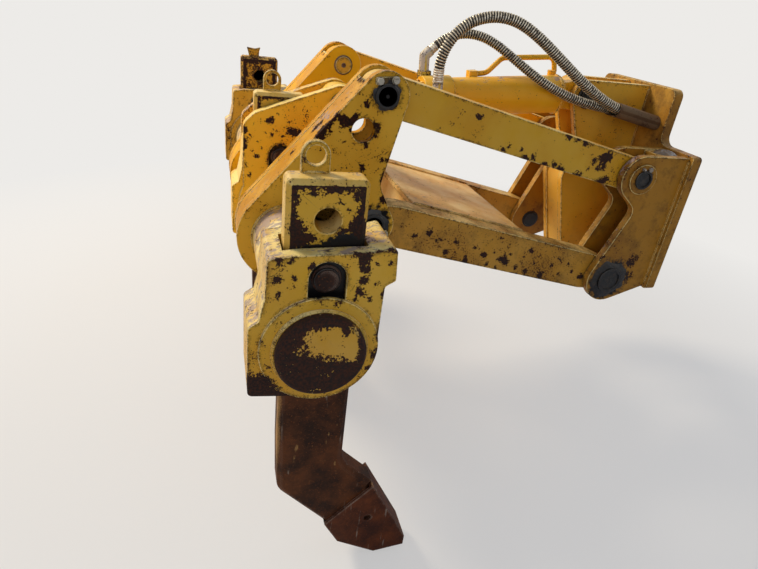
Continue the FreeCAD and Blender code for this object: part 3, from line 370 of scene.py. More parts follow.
def loose_piece(name: str, finish: bpy.types.Material, shells: Sequence[Shell]) -> bpy.types.Object:
    """Makes one piece of surfaces that rides on nothing yet.

    Args:
        name: name of the piece.
        finish: its material.
        shells: its surfaces.

    Returns:
        The piece.
    """
    whole = joined(shells)
    mesh = bpy.data.meshes.new(name)
    mesh.from_pydata(whole.points.tolist(), [], whole.faces)
    work = bmesh.new()
    work.from_mesh(mesh)
    bmesh.ops.remove_doubles(work, verts=work.verts, dist=MERGE_DISTANCE)
    bmesh.ops.recalc_face_normals(work, faces=work.faces)
    work.to_mesh(mesh)
    work.free()
    mesh.shade_smooth()
    mesh.set_sharp_from_angle(angle=SHARP_ANGLE)
    mesh.materials.append(finish)
    piece = bpy.data.objects.new(name, mesh)
    bpy.context.scene.collection.objects.link(piece)
    LOG.info("%s: %d faces", name, len(mesh.polygons))
    return piece


# Finishes

def linear(code: str) -> tuple[float, float, float, float]:
    """Linear colour with alpha from an sRGB hex code such as #D9A032."""
    parts = [int(code[start:start + 2], 16) / 255 for start in (1, 3, 5)]
    red, green, blue = (c / 12.92 if c <= 0.04045 else ((c + 0.055) / 1.055) ** 2.4 for c in parts)
    return red, green, blue, 1.0


class Recipe:
    """Node tree of one material."""

    def __init__(self, name: str) -> None:
        """Makes an empty material."""
        self.material = bpy.data.materials.new(name)
        self.material.use_nodes = True
        self.tree = self.material.node_tree
        self.tree.nodes.clear()

    def add(self, kind: str, inputs: Mapping | None = None, out: int = 0, **settings) -> bpy.types.NodeSocket:
        """Adds a node.

        Args:
            kind: node type without its ShaderNode prefix.
            inputs: value, or socket to link, for each input by name or number.
            out: number of the output to return.
            **settings: properties of the node.

        Returns:
            That output's socket.
        """
        node = self.tree.nodes.new(f"ShaderNode{kind}")
        for key, value in settings.items():
            setattr(node, key, value)
        for key, value in (inputs or {}).items():
            if isinstance(value, bpy.types.NodeSocket):
                self.tree.links.new(value, node.inputs[key])
            else:
                node.inputs[key].default_value = value
        return node.outputs[out] if len(node.outputs) else None

    def finish(self, surface: bpy.types.NodeSocket) -> bpy.types.Material:
        """Links the shader to the output and returns the material."""
        self.add("OutputMaterial", {"Surface": surface})
        return self.material


class Stain(Enum):
    """What a stained place of the enamel shows."""

    RUST = "paint gone, brown rust"
    GREASE = "black grease"
    PALE = "paint rubbed pale"


@dataclass(frozen=True)
class Mark:
    """A stained place.

    Attributes:
        kind: what it shows.
        centre: its middle in the row frame.
        radius: how far it reaches.
        strength: how surely it shows; below zero it keeps the paint.
        stretch: scale of its distance along x, y, z; under 1 makes it longer that way.
    """

    kind: Stain
    centre: tuple[float, float, float]
    radius: float
    strength: float = 0.55
    stretch: tuple[float, float, float] = (1.0, 1.0, 1.0)


def rust_marks(y: float, places: Sequence[tuple[float, float, float]], strength: float = 0.55) -> tuple[Mark, ...]:
    """Rust marks on a face across y, from (x, z, radius) of each."""
    return tuple(Mark(Stain.RUST, (x, y, z), radius, strength) for x, z, radius in places)


class Marked:
    """A finish that has stained places."""

    def marked(self, recipe: Recipe, place: bpy.types.NodeSocket, kind: Stain) -> bpy.types.NodeSocket:
        """Sum of the stained places of one kind, each a cone that fades out past its radius.

        Args:
            recipe: tree that takes the nodes.
            place: coordinates on the piece.
            kind: which marks are taken.

        Returns:
            The sum.
        """
        total = recipe.add("Math", {0: 0.0, 1: 0.0}, operation="ADD")
        for mark in self.marks:
            if mark.kind is not kind:
                continue
            away = recipe.add("VectorMath", {0: place, 1: mark.centre}, operation="SUBTRACT")
            away = recipe.add("VectorMath", {0: away, 1: mark.stretch}, operation="MULTIPLY")
            away = recipe.add("VectorMath", {0: away}, out=1, operation="LENGTH")
            near = recipe.add("MapRange", {0: away, 1: mark.radius * 1.5, 2: mark.radius * 0.3, 4: mark.strength})
            total = recipe.add("Math", {0: total, 1: near}, operation="ADD")
        return total


@dataclass(frozen=True)
class Frame:
    """Band of rust inside the border of a rectangular face that looks along y.

    Attributes:
        centre: middle of the face, (x, z).
        half: half its width and half its height.
        reach: width of the band.
        strength: how surely it rusts.
    """

    centre: tuple[float, float]
    half: tuple[float, float]
    reach: float = 20 * MM
    strength: float = 0.42


@dataclass(frozen=True)
class Enamel(Marked):
    """Alkyd enamel sprayed on plate and castings, faded by the sun, chipped to brown rust.

    To the eye: a slightly dull warm yellow of uneven strength, paler on faces toward
    the main lamp (sun-faded paint and painted sunlight both), with crisp dark chips that
    crowd at edges, a thin pale line on edges (worn paint and a painted highlight both),
    grey-violet scuffs on top and painted shade that darkens corners.

    Attributes:
        name: name of the material.
        coat: the paint in sound places.
        faded_and_lit_paint: the paint on faces toward the main lamp, partly faded by the sun and partly painted
            sunlight.
        deep: the paint where it is thick and glossy.
        rust: rust in old chips.
        rust_bright: rust in their rims.
        bare: scraped metal.
        rubbed_and_highlight: the pale colour on edges, worn paint and a painted highlight together.
        dust: dry dust.
        corner_shade: colour of the painted shade that darkens corners.
        roughness: of sound paint.
        gloss: specular level; weathered enamel shines less than fresh.
        chips: more or fewer chips everywhere.
        edge_chips: how strongly they crowd at edges.
        specks: more or fewer stone chips.
        scuffs: how far the tops are scraped.
        dusty: how much dust lies on it.
        corners: how dark the painted shade in corners is.
        cast: how coarse the surface under the paint is.
        worn_and_highlight_line: strength of the pale line on edges, worn paint and a painted highlight.
        rounded: share of that line on the rounding of edges between faces along y and across it.
        marks: stained places.
        frame: rusty border of a face.
    """

    name: str
    coat: str = "#DBA521"
    faded_and_lit_paint: str = "#F3D583"
    deep: str = "#CE8E14"
    rust: str = "#20130E"
    rust_bright: str = "#56290F"
    bare: str = "#A08C88"
    rubbed_and_highlight: str = "#F8E093"
    dust: str = "#93774F"
    corner_shade: str = "#33241A"
    roughness: float = 0.48
    gloss: float = 0.3
    chips: float = 0.0
    edge_chips: float = 0.30
    specks: float = 0.0
    scuffs: float = 0.0
    dusty: float = 0.2
    corners: float = 0.6
    cast: float = 0.0
    worn_and_highlight_line: float = 1.0
    rounded: float = 1.0
    marks: tuple[Mark, ...] = ()
    frame: Frame | None = None

    def material(self) -> bpy.types.Material:
        """The finish as a material."""
        recipe = Recipe(self.name)
        base, roughness, bump = self.layers(recipe)
        return recipe.finish(recipe.add("BsdfPrincipled", {
            "Base Color": base, "Roughness": roughness, "Normal": bump, "Specular IOR Level": self.gloss,
        }))

    def layers(self, recipe: Recipe) -> tuple[bpy.types.NodeSocket, ...]:
        """Colour, roughness and normal of the worn coat.

        Args:
            recipe: tree that takes the nodes.

        Returns:
            Sockets of colour, roughness and normal.
        """
        add = recipe.add
        place = add("TexCoord", out=3)
        normal = add("TexCoord", out=1)
        # how far a face looks at the sun, high above the rear
        facing = add("VectorMath", {0: normal, 1: (-0.55, 0.0, 0.83)}, out=1, operation="DOT_PRODUCT")
        # wear drifts over 200 mm; ragged bends of 2 to 30 mm give the marks their borders
        drift = add("TexNoise", {"Vector": place, "Scale": 5, "Detail": 3})
        wobble = add("TexNoise", {"Vector": place, "Scale": 34, "Detail": 6, "Roughness": 0.78}, out=1)
        wobble = add("VectorMath", {0: wobble, 1: (0.5, 0.5, 0.5)}, operation="SUBTRACT")
        bent = add("VectorMath", {0: wobble, 1: (0.06, 0.06, 0.06), 2: place}, operation="MULTIPLY_ADD")
        # 25 mm blotches with fine ragged borders
        blotch = add("TexNoise", {"Vector": place, "Scale": 40, "Detail": 8, "Roughness": 0.68})
        open_air = add("AmbientOcclusion", {"Distance": 0.05}, out=1, samples=5)
        convex = add("MapRange", {0: open_air, 1: 0.40, 2: 0.72})
        near = self.edge(recipe, 20 * MM, convex)
        # 4 mm grains break the borders up
        grain = add("TexNoise", {"Vector": place, "Scale": 190, "Detail": 2, "Roughness": 0.6})
        score = add("Math", {0: drift, 1: 0.45, 2: blotch}, operation="MULTIPLY_ADD")
        score = add("Math", {0: grain, 1: 0.85, 2: score}, operation="MULTIPLY_ADD")
        score = add("Math", {0: near, 1: self.edge_chips, 2: score}, operation="MULTIPLY_ADD")
        stained = self.marked(recipe, bent, Stain.RUST)
        if self.frame:
            stained = self.framed(recipe, bent, normal, stained)
        score = add("Math", {0: score, 1: stained}, operation="ADD")
        limit = 1.365 - self.chips
        chip = add("MapRange", {0: score, 1: limit, 2: limit + 0.008})
        halo = add("MapRange", {0: score, 1: limit - 0.035, 2: limit})
        # specks where stones struck
        struck = add("Math", {0: drift, 1: 0.5, 2: grain}, operation="MULTIPLY_ADD")
        struck = add("Math", {0: near, 1: 0.12, 2: struck}, operation="MULTIPLY_ADD")
        struck = add("Math", {0: stained, 1: 0.45, 2: struck}, operation="MULTIPLY_ADD")
        speck = add("MapRange", {0: struck, 1: 1.0 - self.specks, 2: 1.01 - self.specks})
        gone = add("Math", {0: chip, 1: speck}, operation="MAXIMUM")

        # uneven strength of the coat; paler on faces toward the main lamp, partly sun-faded paint and partly painted
        # sunlight
        tone = add("TexNoise", {"Vector": place, "Scale": 7, "Detail": 6, "Roughness": 0.6})
        fade_and_painted_light = add("MapRange", {0: facing, 1: 0.30, 2: 0.75, 3: 0.08, 4: 1.0})
        pale = add("MapRange", {0: tone, 1: 0.32, 2: 0.56})
        pale = add("Math", {0: pale, 1: fade_and_painted_light}, operation="MULTIPLY")
        coat = add("Mix", {0: pale, 6: linear(self.coat), 7: linear(self.faded_and_lit_paint)}, out=2, data_type="RGBA")
        dull = add("MapRange", {0: drift, 1: 0.44, 2: 0.62, 4: 0.5})
        coat = add("Mix", {0: dull, 6: coat, 7: linear(self.deep)}, out=2, data_type="RGBA")
        # dust lies in clouds, more on what looks up; then corners get painted shade
        cloud = add("TexNoise", {"Vector": place, "Scale": 13, "Detail": 9, "Roughness": 0.72})
        lying = add("Math", {0: facing, 1: 0.07, 2: cloud}, operation="MULTIPLY_ADD")
        lying = add("MapRange", {0: lying, 1: 0.62 - 0.25 * self.dusty, 2: 0.82 - 0.2 * self.dusty,
                                 4: 0.1 + 1.4 * self.dusty})
        coat = add("Mix", {0: lying, 6: coat, 7: linear(self.dust)}, out=2, data_type="RGBA")
        # painted shade: darker where the ambient occlusion finds little open air
        corner = add("MapRange", {0: open_air, 1: 0.58, 2: 0.18, 4: self.corners})
        coat = add("Mix", {0: corner, 6: coat, 7: linear(self.corner_shade)}, out=2, data_type="RGBA")

        # tops scraped to metal in short strokes; edges made pale, worn paint together with a painted highlight
        stroke = add("Mapping", {"Vector": place, "Scale": (0.6, 1.0, 1.0)})
        scrape = add("TexNoise", {"Vector": stroke, "Scale": 46, "Detail": 8, "Roughness": 0.72, "Distortion": 0.25})
        scrape = add("Math", {0: drift, 1: 0.5, 2: scrape}, operation="MULTIPLY_ADD")
        lifted = add("MapRange", {0: facing, 1: 0.15, 2: 0.8, 3: -0.3, 4: 0.13 * self.scuffs})
        scrape = add("Math", {0: lifted, 1: scrape}, operation="ADD")
        scraped = add("MapRange", {0: scrape, 1: 0.86, 2: 0.90, 4: 0.8})
        coat = add("Mix", {0: scraped, 6: coat, 7: linear(self.bare)}, out=2, data_type="RGBA")
        line = self.edge(recipe, 5 * MM, convex)
        # the rounded edge itself lies between faces across y and faces along it, and takes the same pale painted
        # highlight
        across = add("Math", {0: add("SeparateXYZ", {0: normal}, out=1)}, operation="ABSOLUTE")
        onto = add("MapRange", {0: across, 1: 0.10, 2: 0.30})
        off = add("MapRange", {0: across, 1: 0.99, 2: 0.94, 4: self.rounded})
        ridge = add("Math", {0: onto, 1: off}, operation="MULTIPLY")
        line = add("Math", {0: line, 1: ridge}, operation="MAXIMUM")
        uneven = add("MapRange", {0: tone, 1: 0.36, 2: 0.5, 3: 0.45})
        # pale edges: worn paint and a painted highlight, strongest where the edge masks are
        rub_and_highlight = add("Math", {0: line, 1: uneven}, operation="MULTIPLY")
        rub_and_highlight = add("MapRange", {0: rub_and_highlight, 1: 0.10, 2: 0.34, 4: self.worn_and_highlight_line})
        if any(mark.kind is Stain.PALE for mark in self.marks):
            rub_and_highlight = add("Math", {0: rub_and_highlight, 1: self.marked(recipe, bent, Stain.PALE)}, operation="MAXIMUM")
        coat = add("Mix", {0: rub_and_highlight, 6: coat, 7: linear(self.rubbed_and_highlight)}, out=2, data_type="RGBA")

        # rust under the chips, browner round their rims
        rusty = add("MapRange", {0: grain, 1: 0.42, 2: 0.72, 4: 0.55})
        rust = add("Mix", {0: rusty, 6: linear(self.rust), 7: linear(self.rust_bright)}, out=2, data_type="RGBA")
        rim = add("Math", {0: halo, 1: 0.5}, operation="MULTIPLY")
        coat = add("Mix", {0: rim, 6: coat, 7: linear(self.rust_bright)}, out=2, data_type="RGBA")
        colour = add("Mix", {0: gone, 6: coat, 7: rust}, out=2, data_type="RGBA")
        matt = add("MapRange", {0: gone, 3: self.roughness, 4: 0.85})
        matt = add("Math", {0: lying, 1: 0.35, 2: matt}, operation="MULTIPLY_ADD")

        # grease lies over all
        if any(mark.kind is Stain.GREASE for mark in self.marks):
            greasy = add("Math", {0: blotch, 1: self.marked(recipe, bent, Stain.GREASE)}, operation="ADD")
            wet = add("MapRange", {0: greasy, 1: 0.72, 2: 0.92})
            colour = add("Mix", {0: wet, 6: colour, 7: linear("#0C0A0A")}, out=2, data_type="RGBA")
            matt = add("Mix", {0: wet, 2: matt, 3: 0.38}, data_type="FLOAT")

        # a chip is as deep as the paint, drawn 0.6 mm deep so that it shows
        level = add("MapRange", {0: gone, 3: 1.0, 4: 0.0})
        peel = add("TexNoise", {"Vector": place, "Scale": 75 if self.cast else 260, "Detail": 4})
        level = add("Math", {0: peel, 1: 0.35 + 1.6 * self.cast, 2: level}, operation="MULTIPLY_ADD")
        level = add("Math", {0: grain, 1: 0.2, 2: level}, operation="MULTIPLY_ADD")
        bump = add("Bump", {"Strength": 0.8, "Distance": 0.6 * MM, "Height": level})
        return colour, matt, bump

    @staticmethod
    def edge(recipe: Recipe, reach: float, convex: bpy.types.NodeSocket) -> bpy.types.NodeSocket:
        """Mask of outer edges: 1 at a square edge, 0 further from it than reach."""
        add = recipe.add
        rounded = add("Bevel", {"Radius": reach}, samples=5)
        straight = add("NewGeometry", out=1)
        same = add("VectorMath", {0: rounded, 1: straight}, out=1, operation="DOT_PRODUCT")
        bend = add("MapRange", {0: same, 1: 0.998, 2: 0.78})
        return add("Math", {0: bend, 1: convex}, operation="MULTIPLY")

    def framed(self, recipe: Recipe, place: bpy.types.NodeSocket, normal: bpy.types.NodeSocket,
               stained: bpy.types.NodeSocket) -> bpy.types.NodeSocket:
        """Adds the rusty border of a face to the stained places.

        Args:
            recipe: tree that takes the nodes.
            place: coordinates on the piece.
            normal: the piece's own normal.
            stained: what it adds to.

        Returns:
            The new sum.
        """
        add, frame = recipe.add, self.frame
        outward = []
        for axis, middle, half in ((0, frame.centre[0], frame.half[0]), (2, frame.centre[1], frame.half[1])):
            off = add("Math", {0: add("SeparateXYZ", {0: place}, out=axis), 1: middle}, operation="SUBTRACT")
            outward.append(add("Math", {0: add("Math", {0: off}, operation="ABSOLUTE"), 1: half}, operation="SUBTRACT"))
        outer = add("Math", {0: outward[0], 1: outward[1]}, operation="MAXIMUM")
        band = add("MapRange", {0: outer, 1: -frame.reach, 2: -0.25 * frame.reach, 4: frame.strength})
        level = add("Math", {0: add("SeparateXYZ", {0: normal}, out=1)}, operation="ABSOLUTE")
        flat = add("MapRange", {0: level, 1: 0.7, 2: 0.9})
        band = add("Math", {0: band, 1: flat}, operation="MULTIPLY")
        return add("Math", {0: stained, 1: band}, operation="ADD")


@dataclass(frozen=True)
class RustedSteel(Marked):
    """Hot-rolled wear steel, rusted dark and polished in streaks by the soil.

    To the eye: near-black brown with redder clouds, pitted, with dull bright scratches
    that run along the piece and paler edges worn by the soil.
    """

    name: str
    dark: str = "#2B180E"
    brown: str = "#603519"
    orange: str = "#8A4C22"
    bright: str = "#B5A592"
    tan: str = "#B88A50"
    roughness: float = 0.62
    gloss: float = 0.15
    scratches: float = 0.5
    edge_reach: float = 0.010
    marks: tuple[Mark, ...] = ()

    def layers(self, recipe: Recipe) -> tuple[bpy.types.NodeSocket, ...]:
        """Colour, roughness, metal share and normal of the rusted steel."""
        add = recipe.add
        place = add("TexCoord", out=3)
        cloud = add("TexNoise", {"Vector": place, "Scale": 11, "Detail": 8, "Roughness": 0.65})
        pit = add("TexNoise", {"Vector": place, "Scale": 210, "Detail": 3, "Roughness": 0.7})
        run = add("Mapping", {"Vector": place, "Scale": (1.0, 1.0, 0.09), "Rotation": (0, 0.10, 0)})
        line = add("TexNoise", {"Vector": run, "Scale": 110, "Detail": 3, "Distortion": 0.3})
        share = add("MapRange", {0: cloud, 1: 0.40, 2: 0.66})
        colour = add("Mix", {0: share, 6: linear(self.dark), 7: linear(self.brown)}, out=2, data_type="RGBA")
        fleck = add("MapRange", {0: pit, 1: 0.58, 2: 0.72, 4: 0.7})
        colour = add("Mix", {0: fleck, 6: colour, 7: linear(self.orange)}, out=2, data_type="RGBA")
        if self.marks:
            # ridges that the soil has polished, gritty at their borders
            worn = add("Math", {0: pit, 2: self.marked(recipe, place, Stain.PALE)}, operation="MULTIPLY_ADD")
            worn = add("MapRange", {0: worn, 1: 0.68, 2: 1.02, 4: 0.9})
            colour = add("Mix", {0: worn, 6: colour, 7: linear(self.tan)}, out=2, data_type="RGBA")
        rounded = add("Bevel", {"Radius": self.edge_reach}, samples=6)
        same = add("VectorMath", {0: rounded, 1: add("NewGeometry", out=1)}, out=1, operation="DOT_PRODUCT")
        edge = add("MapRange", {0: same, 1: 0.99, 2: 0.76})
        patchy = add("MapRange", {0: cloud, 1: 0.42, 2: 0.6})
        edge = add("Math", {0: edge, 1: patchy}, operation="MULTIPLY")
        scratch = add("MapRange", {0: line, 1: 0.72 - 0.08 * self.scratches, 2: 0.77 - 0.05 * self.scratches})
        scratch = add("Math", {0: scratch, 1: patchy}, operation="MULTIPLY")
        shine = add("Math", {0: scratch, 1: edge}, operation="MAXIMUM")
        shine = add("Math", {0: shine, 1: 0.75}, operation="MULTIPLY")
        colour = add("Mix", {0: shine, 6: colour, 7: linear(self.bright)}, out=2, data_type="RGBA")
        matt = add("MapRange", {0: shine, 3: self.roughness, 4: 0.38})
        height = add("Math", {0: pit, 1: 0.7, 2: cloud}, operation="MULTIPLY_ADD")
        height = add("Math", {0: scratch, 1: -0.4, 2: height}, operation="MULTIPLY_ADD")
        bump = add("Bump", {"Strength": 0.75, "Distance": 1.0 * MM, "Height": height})
        metal = add("Math", {0: shine, 1: 0.6}, operation="MULTIPLY")
        return colour, matt, metal, bump

    def material(self) -> bpy.types.Material:
        """The finish as a material."""
        recipe = Recipe(self.name)
        colour, matt, metal, bump = self.layers(recipe)
        return recipe.finish(recipe.add("BsdfPrincipled", {
            "Base Color": colour, "Roughness": matt, "Metallic": metal, "Normal": bump,
            "Specular IOR Level": self.gloss,
        }))


@dataclass(frozen=True)
class PaintedShank:
    """A shank painted above the soil line and bare rusted steel below it.

    Attributes:
        steel: finish of the bare part.
        enamel: finish of the painted head.
        line: height at which the paint ends.
    """

    name: str
    steel: RustedSteel
    enamel: Enamel
    line: float

    def material(self) -> bpy.types.Material:
        """The finish as a material."""
        recipe = Recipe(self.name)
        add = recipe.add
        colour, matt, metal, bump = self.steel.layers(recipe)
        bare = add("BsdfPrincipled", {
            "Base Color": colour, "Roughness": matt, "Metallic": metal, "Normal": bump,
            "Specular IOR Level": self.steel.gloss,
        })
        colour, matt, bump = self.enamel.layers(recipe)
        painted = add("BsdfPrincipled", {
            "Base Color": colour, "Roughness": matt, "Normal": bump, "Specular IOR Level": self.enamel.gloss,
        })
        place = add("TexCoord", out=3)
        height = add("SeparateXYZ", {0: place}, out=2)
        ragged = add("TexNoise", {"Vector": place, "Scale": 30, "Detail": 5})
        height = add("Math", {0: ragged, 1: 0.06, 2: height}, operation="MULTIPLY_ADD")
        share = add("MapRange", {0: height, 1: self.line + 0.03, 2: self.line + 0.034})
        return recipe.finish(add("MixShader", {0: share, 1: bare, 2: painted}))


@dataclass(frozen=True)
class Grease:
    """Lithium grease gone black with dust on turned steel pins.

    To the eye: black with a soft wet gloss and lumps, browner where dust has stuck.
    """

    name: str
    black: str = "#0B0A0B"
    dusty: str = "#3A2E22"
    share: float = 0.5

    def material(self) -> bpy.types.Material:
        """The finish as a material."""
        recipe = Recipe(self.name)
        add = recipe.add
        place = add("TexCoord", out=3)
        lump = add("TexNoise", {"Vector": place, "Scale": 60, "Detail": 6, "Roughness": 0.6})
        stuck = add("MapRange", {0: lump, 1: 0.62 - 0.16 * self.share, 2: 0.80, 4: 0.9})
        colour = add("Mix", {0: stuck, 6: linear(self.black), 7: linear(self.dusty)}, out=2, data_type="RGBA")
        matt = add("MapRange", {0: stuck, 3: 0.28, 4: 0.8})
        bump = add("Bump", {"Strength": 0.8, "Distance": 2.5 * MM, "Height": lump})
        return recipe.finish(add("BsdfPrincipled", {"Base Color": colour, "Roughness": matt, "Normal": bump}))


@dataclass(frozen=True)
class PlatedSteel:
    """Bare or plated steel of rods, fittings, bolts and guard wire.

    To the eye: a grey metal whose gloss breaks up under oil, dust and light rust.
    """

    name: str
    metal: str = "#B9B6B0"
    dirt: str = "#6B5A45"
    roughness: float = 0.30
    dirty: float = 0.3
    grain: float = 90.0

    def material(self) -> bpy.types.Material:
        """The finish as a material."""
        recipe = Recipe(self.name)
        add = recipe.add
        place = add("TexCoord", out=3)
        cloud = add("TexNoise", {"Vector": place, "Scale": self.grain, "Detail": 6, "Roughness": 0.65})
        share = add("MapRange", {0: cloud, 1: 0.62 - 0.3 * self.dirty, 2: 0.74 - 0.2 * self.dirty})
        colour = add("Mix", {0: share, 6: linear(self.metal), 7: linear(self.dirt)}, out=2, data_type="RGBA")
        matt = add("MapRange", {0: share, 3: self.roughness, 4: 0.8})
        metal = add("MapRange", {0: share, 3: 1.0, 4: 0.1})
        bump = add("Bump", {"Strength": 0.3, "Distance": 0.3 * MM, "Height": cloud})
        return recipe.finish(add("BsdfPrincipled", {
            "Base Color": colour, "Roughness": matt, "Metallic": metal, "Normal": bump,
        }))


@dataclass(frozen=True)
class Rubber:
    """Wire-braided hydraulic hose with a smooth nitrile cover, grey with dust.

    To the eye: matt black that dust turns brown on top.
    """

    name: str
    black: str = "#100E0D"
    dust: str = "#3E3428"

    def material(self) -> bpy.types.Material:
        """The finish as a material."""
        recipe = Recipe(self.name)
        add = recipe.add
        place = add("TexCoord", out=3)
        facing = add("SeparateXYZ", {0: add("TexCoord", out=1)}, out=2)
        cloud = add("TexNoise", {"Vector": place, "Scale": 70, "Detail": 5})
        lying = add("Math", {0: facing, 1: 0.18, 2: cloud}, operation="MULTIPLY_ADD")
        share = add("MapRange", {0: lying, 1: 0.45, 2: 0.85, 4: 0.8})
        colour = add("Mix", {0: share, 6: linear(self.black), 7: linear(self.dust)}, out=2, data_type="RGBA")
        bump = add("Bump", {"Strength": 0.3, "Distance": 0.5 * MM, "Height": cloud})
        return recipe.finish(add("BsdfPrincipled", {"Base Color": colour, "Roughness": 0.72, "Normal": bump}))


# Camera, light and floor

@dataclass(frozen=True)
class Studio:
    """Pale studio with the photograph's camera.

    The camera was solved from the places of the pins in the photograph. What the camera
    sees of the floor is lifted towards the backdrop by floor_glow.
    """

    place: tuple[float, float, float] = (-1.7336, -2.0696, 0.7088)
    yaw: float = math.radians(18.28)
    pitch: float = math.radians(27.50)
    roll: float = math.radians(-7.22)
    focal_pixels: float = 558.5
    picture_width: float = 758.0
    sensor: float = 36.0
    floor_gap: float = 0.012
    floor_half: float = 30.0
    floor_colour: str = "#E4E2DF"
    floor_glow: float = 0.55
    backdrop: str = "#EDEBE8"
    middle: tuple[float, float] = (-0.9, 0.0)
    fade: tuple[float, float] = (1.6, 3.4)
    sun: str = "#FFF0D6"
    sky: str = "#DCE8FF"
    ambient: float = 0.32

    def build(self) -> None:
        """Makes camera, lamps, world and floor."""
        self.camera()
        self.lamps()
        self.world()
        self.floor()
        scene = bpy.context.scene
        scene.view_settings.view_transform = "Standard"

    def camera(self) -> None:
        """Camera axes from yaw, pitch and roll: x to the right, y up, z backwards."""
        yaw, pitch, roll = self.yaw, self.pitch, self.roll
        level = np.array([math.sin(yaw), math.cos(yaw), 0.0])
        ahead = math.cos(pitch) * level - math.sin(pitch) * Z_AXIS
        right = np.array([math.cos(yaw), -math.sin(yaw), 0.0])
        down = np.cross(ahead, right)
        x_axis = math.cos(roll) * right + math.sin(roll) * down
        y_axis = math.sin(roll) * right - math.cos(roll) * down
        data = bpy.data.cameras.new("photo_camera")
        data.sensor_width = self.sensor
        data.lens = self.focal_pixels / self.picture_width * self.sensor
        data.clip_start, data.clip_end = 0.05, 200.0
        camera = bpy.data.objects.new("photo_camera", data)
        matrix = np.eye(4)
        matrix[:3, 0], matrix[:3, 1], matrix[:3, 2], matrix[:3, 3] = x_axis, y_axis, -ahead, self.place
        camera.matrix_world = Matrix(matrix.tolist())
        bpy.context.scene.collection.objects.link(camera)
        bpy.context.scene.camera = camera

    def lamps(self) -> None:
        """A broad main lamp from the rear left, as the sun stood, and two weak fills."""
        aim = np.array([-1.0, -0.2, 0.0])
        for name, place, size, power in (
            ("main_lamp", (-4.6, 3.4, 4.2), 1.7, 400.0),
            ("camera_fill", (-3.0, -6.0, 2.6), 4.0, 54.0),
            ("front_fill", (4.5, 1.5, 3.5), 3.5, 30.0),
        ):
            data = bpy.data.lights.new(name, "AREA")
            data.size, data.energy = size, power
            data.color = linear(self.sun if name == "main_lamp" else self.sky)[:3]
            lamp = bpy.data.objects.new(name, data)
            back = unit(np.array(place) - aim)
            side = unit(np.cross(Z_AXIS, back))
            matrix = np.eye(4)
            matrix[:3, 0], matrix[:3, 1], matrix[:3, 2] = side, np.cross(back, side), back
            matrix[:3, 3] = place
            lamp.matrix_world = Matrix(matrix.tolist())
            bpy.context.scene.collection.objects.link(lamp)

    def world(self) -> None:
        """Even light from all round; camera, gloss and glass see a pale backdrop."""
        world = bpy.data.worlds.new("studio")
        world.use_nodes = True
        tree = world.node_tree
        tree.nodes.clear()
        path = tree.nodes.new("ShaderNodeLightPath")
        seen = tree.nodes.new("ShaderNodeMath")
        seen.operation = "MAXIMUM"
        tree.links.new(path.outputs["Is Camera Ray"], seen.inputs[0])
        tree.links.new(path.outputs["Is Glossy Ray"], seen.inputs[1])
        either = tree.nodes.new("ShaderNodeMath")
        either.operation = "MAXIMUM"
        tree.links.new(seen.outputs[0], either.inputs[0])
        tree.links.new(path.outputs["Is Transmission Ray"], either.inputs[1])
        light, shown = (tree.nodes.new("ShaderNodeBackground") for _ in range(2))
        light.inputs["Color"].default_value = linear(self.sky)
        light.inputs["Strength"].default_value = self.ambient
        shown.inputs["Color"].default_value = linear(self.backdrop)
        mix = tree.nodes.new("ShaderNodeMixShader")
        tree.links.new(either.outputs[0], mix.inputs[0])
        tree.links.new(light.outputs[0], mix.inputs[1])
        tree.links.new(shown.outputs[0], mix.inputs[2])
        output = tree.nodes.new("ShaderNodeOutputWorld")
        tree.links.new(mix.outputs[0], output.inputs["Surface"])
        bpy.context.scene.world = world

    def floor(self) -> None:
        """Plain floor just below the lowest tip, which the camera sees fade into the backdrop."""
        half, height = self.floor_half, CAD_BOX[0][2] - self.floor_gap
        corners = [(-half, -half, height), (half, -half, height), (half, half, height), (-half, half, height)]
        mesh = bpy.data.meshes.new("floor")
        mesh.from_pydata(corners, [], [(0, 1, 2, 3)])
        recipe = Recipe("pale_floor")
        add = recipe.add
        shade = add("BsdfPrincipled", {"Base Color": linear(self.floor_colour), "Roughness": 0.9})
        off = add("VectorMath", {0: add("TexCoord", out=3), 1: (*self.middle, height)}, operation="SUBTRACT")
        off = add("VectorMath", {0: off}, out=1, operation="LENGTH")
        far = add("MapRange", {0: off, 1: self.fade[0], 2: self.fade[1], 3: self.floor_glow})
        far = add("Math", {0: far, 1: add("LightPath")}, operation="MULTIPLY")
        glow = add("Emission", {"Color": linear(self.backdrop), "Strength": 1.0})
        mesh.materials.append(recipe.finish(add("MixShader", {0: far, 1: shade, 2: glow})))
        floor = bpy.data.objects.new("floor", mesh)
        bpy.context.scene.collection.objects.link(floor)


# Small parts that several sub-assemblies use

@dataclass(frozen=True)
class Bolt:
    """Hexagon bolt head on its washer.

    Attributes:
        across: width over the flats.
        height: height of the head.
        washer: washer's radius; 0 leaves it out.
    """

    across: float = 24 * MM
    height: float = 10 * MM
    washer: float = 15 * MM
    washer_height: float = 2.5 * MM

    def shells(self, place: np.ndarray, out: np.ndarray, twist: float = 0.2) -> list[Shell]:
        """Surfaces of the head, which stands on place and looks out."""
        corner = self.across / math.sqrt(3)
        lift = self.washer_height if self.washer else 0.0
        rim = corner * 0.90
        made = [turned(
            ((corner, -MM), (corner, lift + self.height * 0.82), (rim, lift + self.height)),
            place, out, corners=6, twist=twist,
        )]
        if self.washer:
            edge = self.washer - 0.6 * MM
            made.append(turned(
                ((self.washer, -MM), (self.washer, lift - 0.6 * MM), (edge, lift)), place, out, corners=24,
            ))
        return made


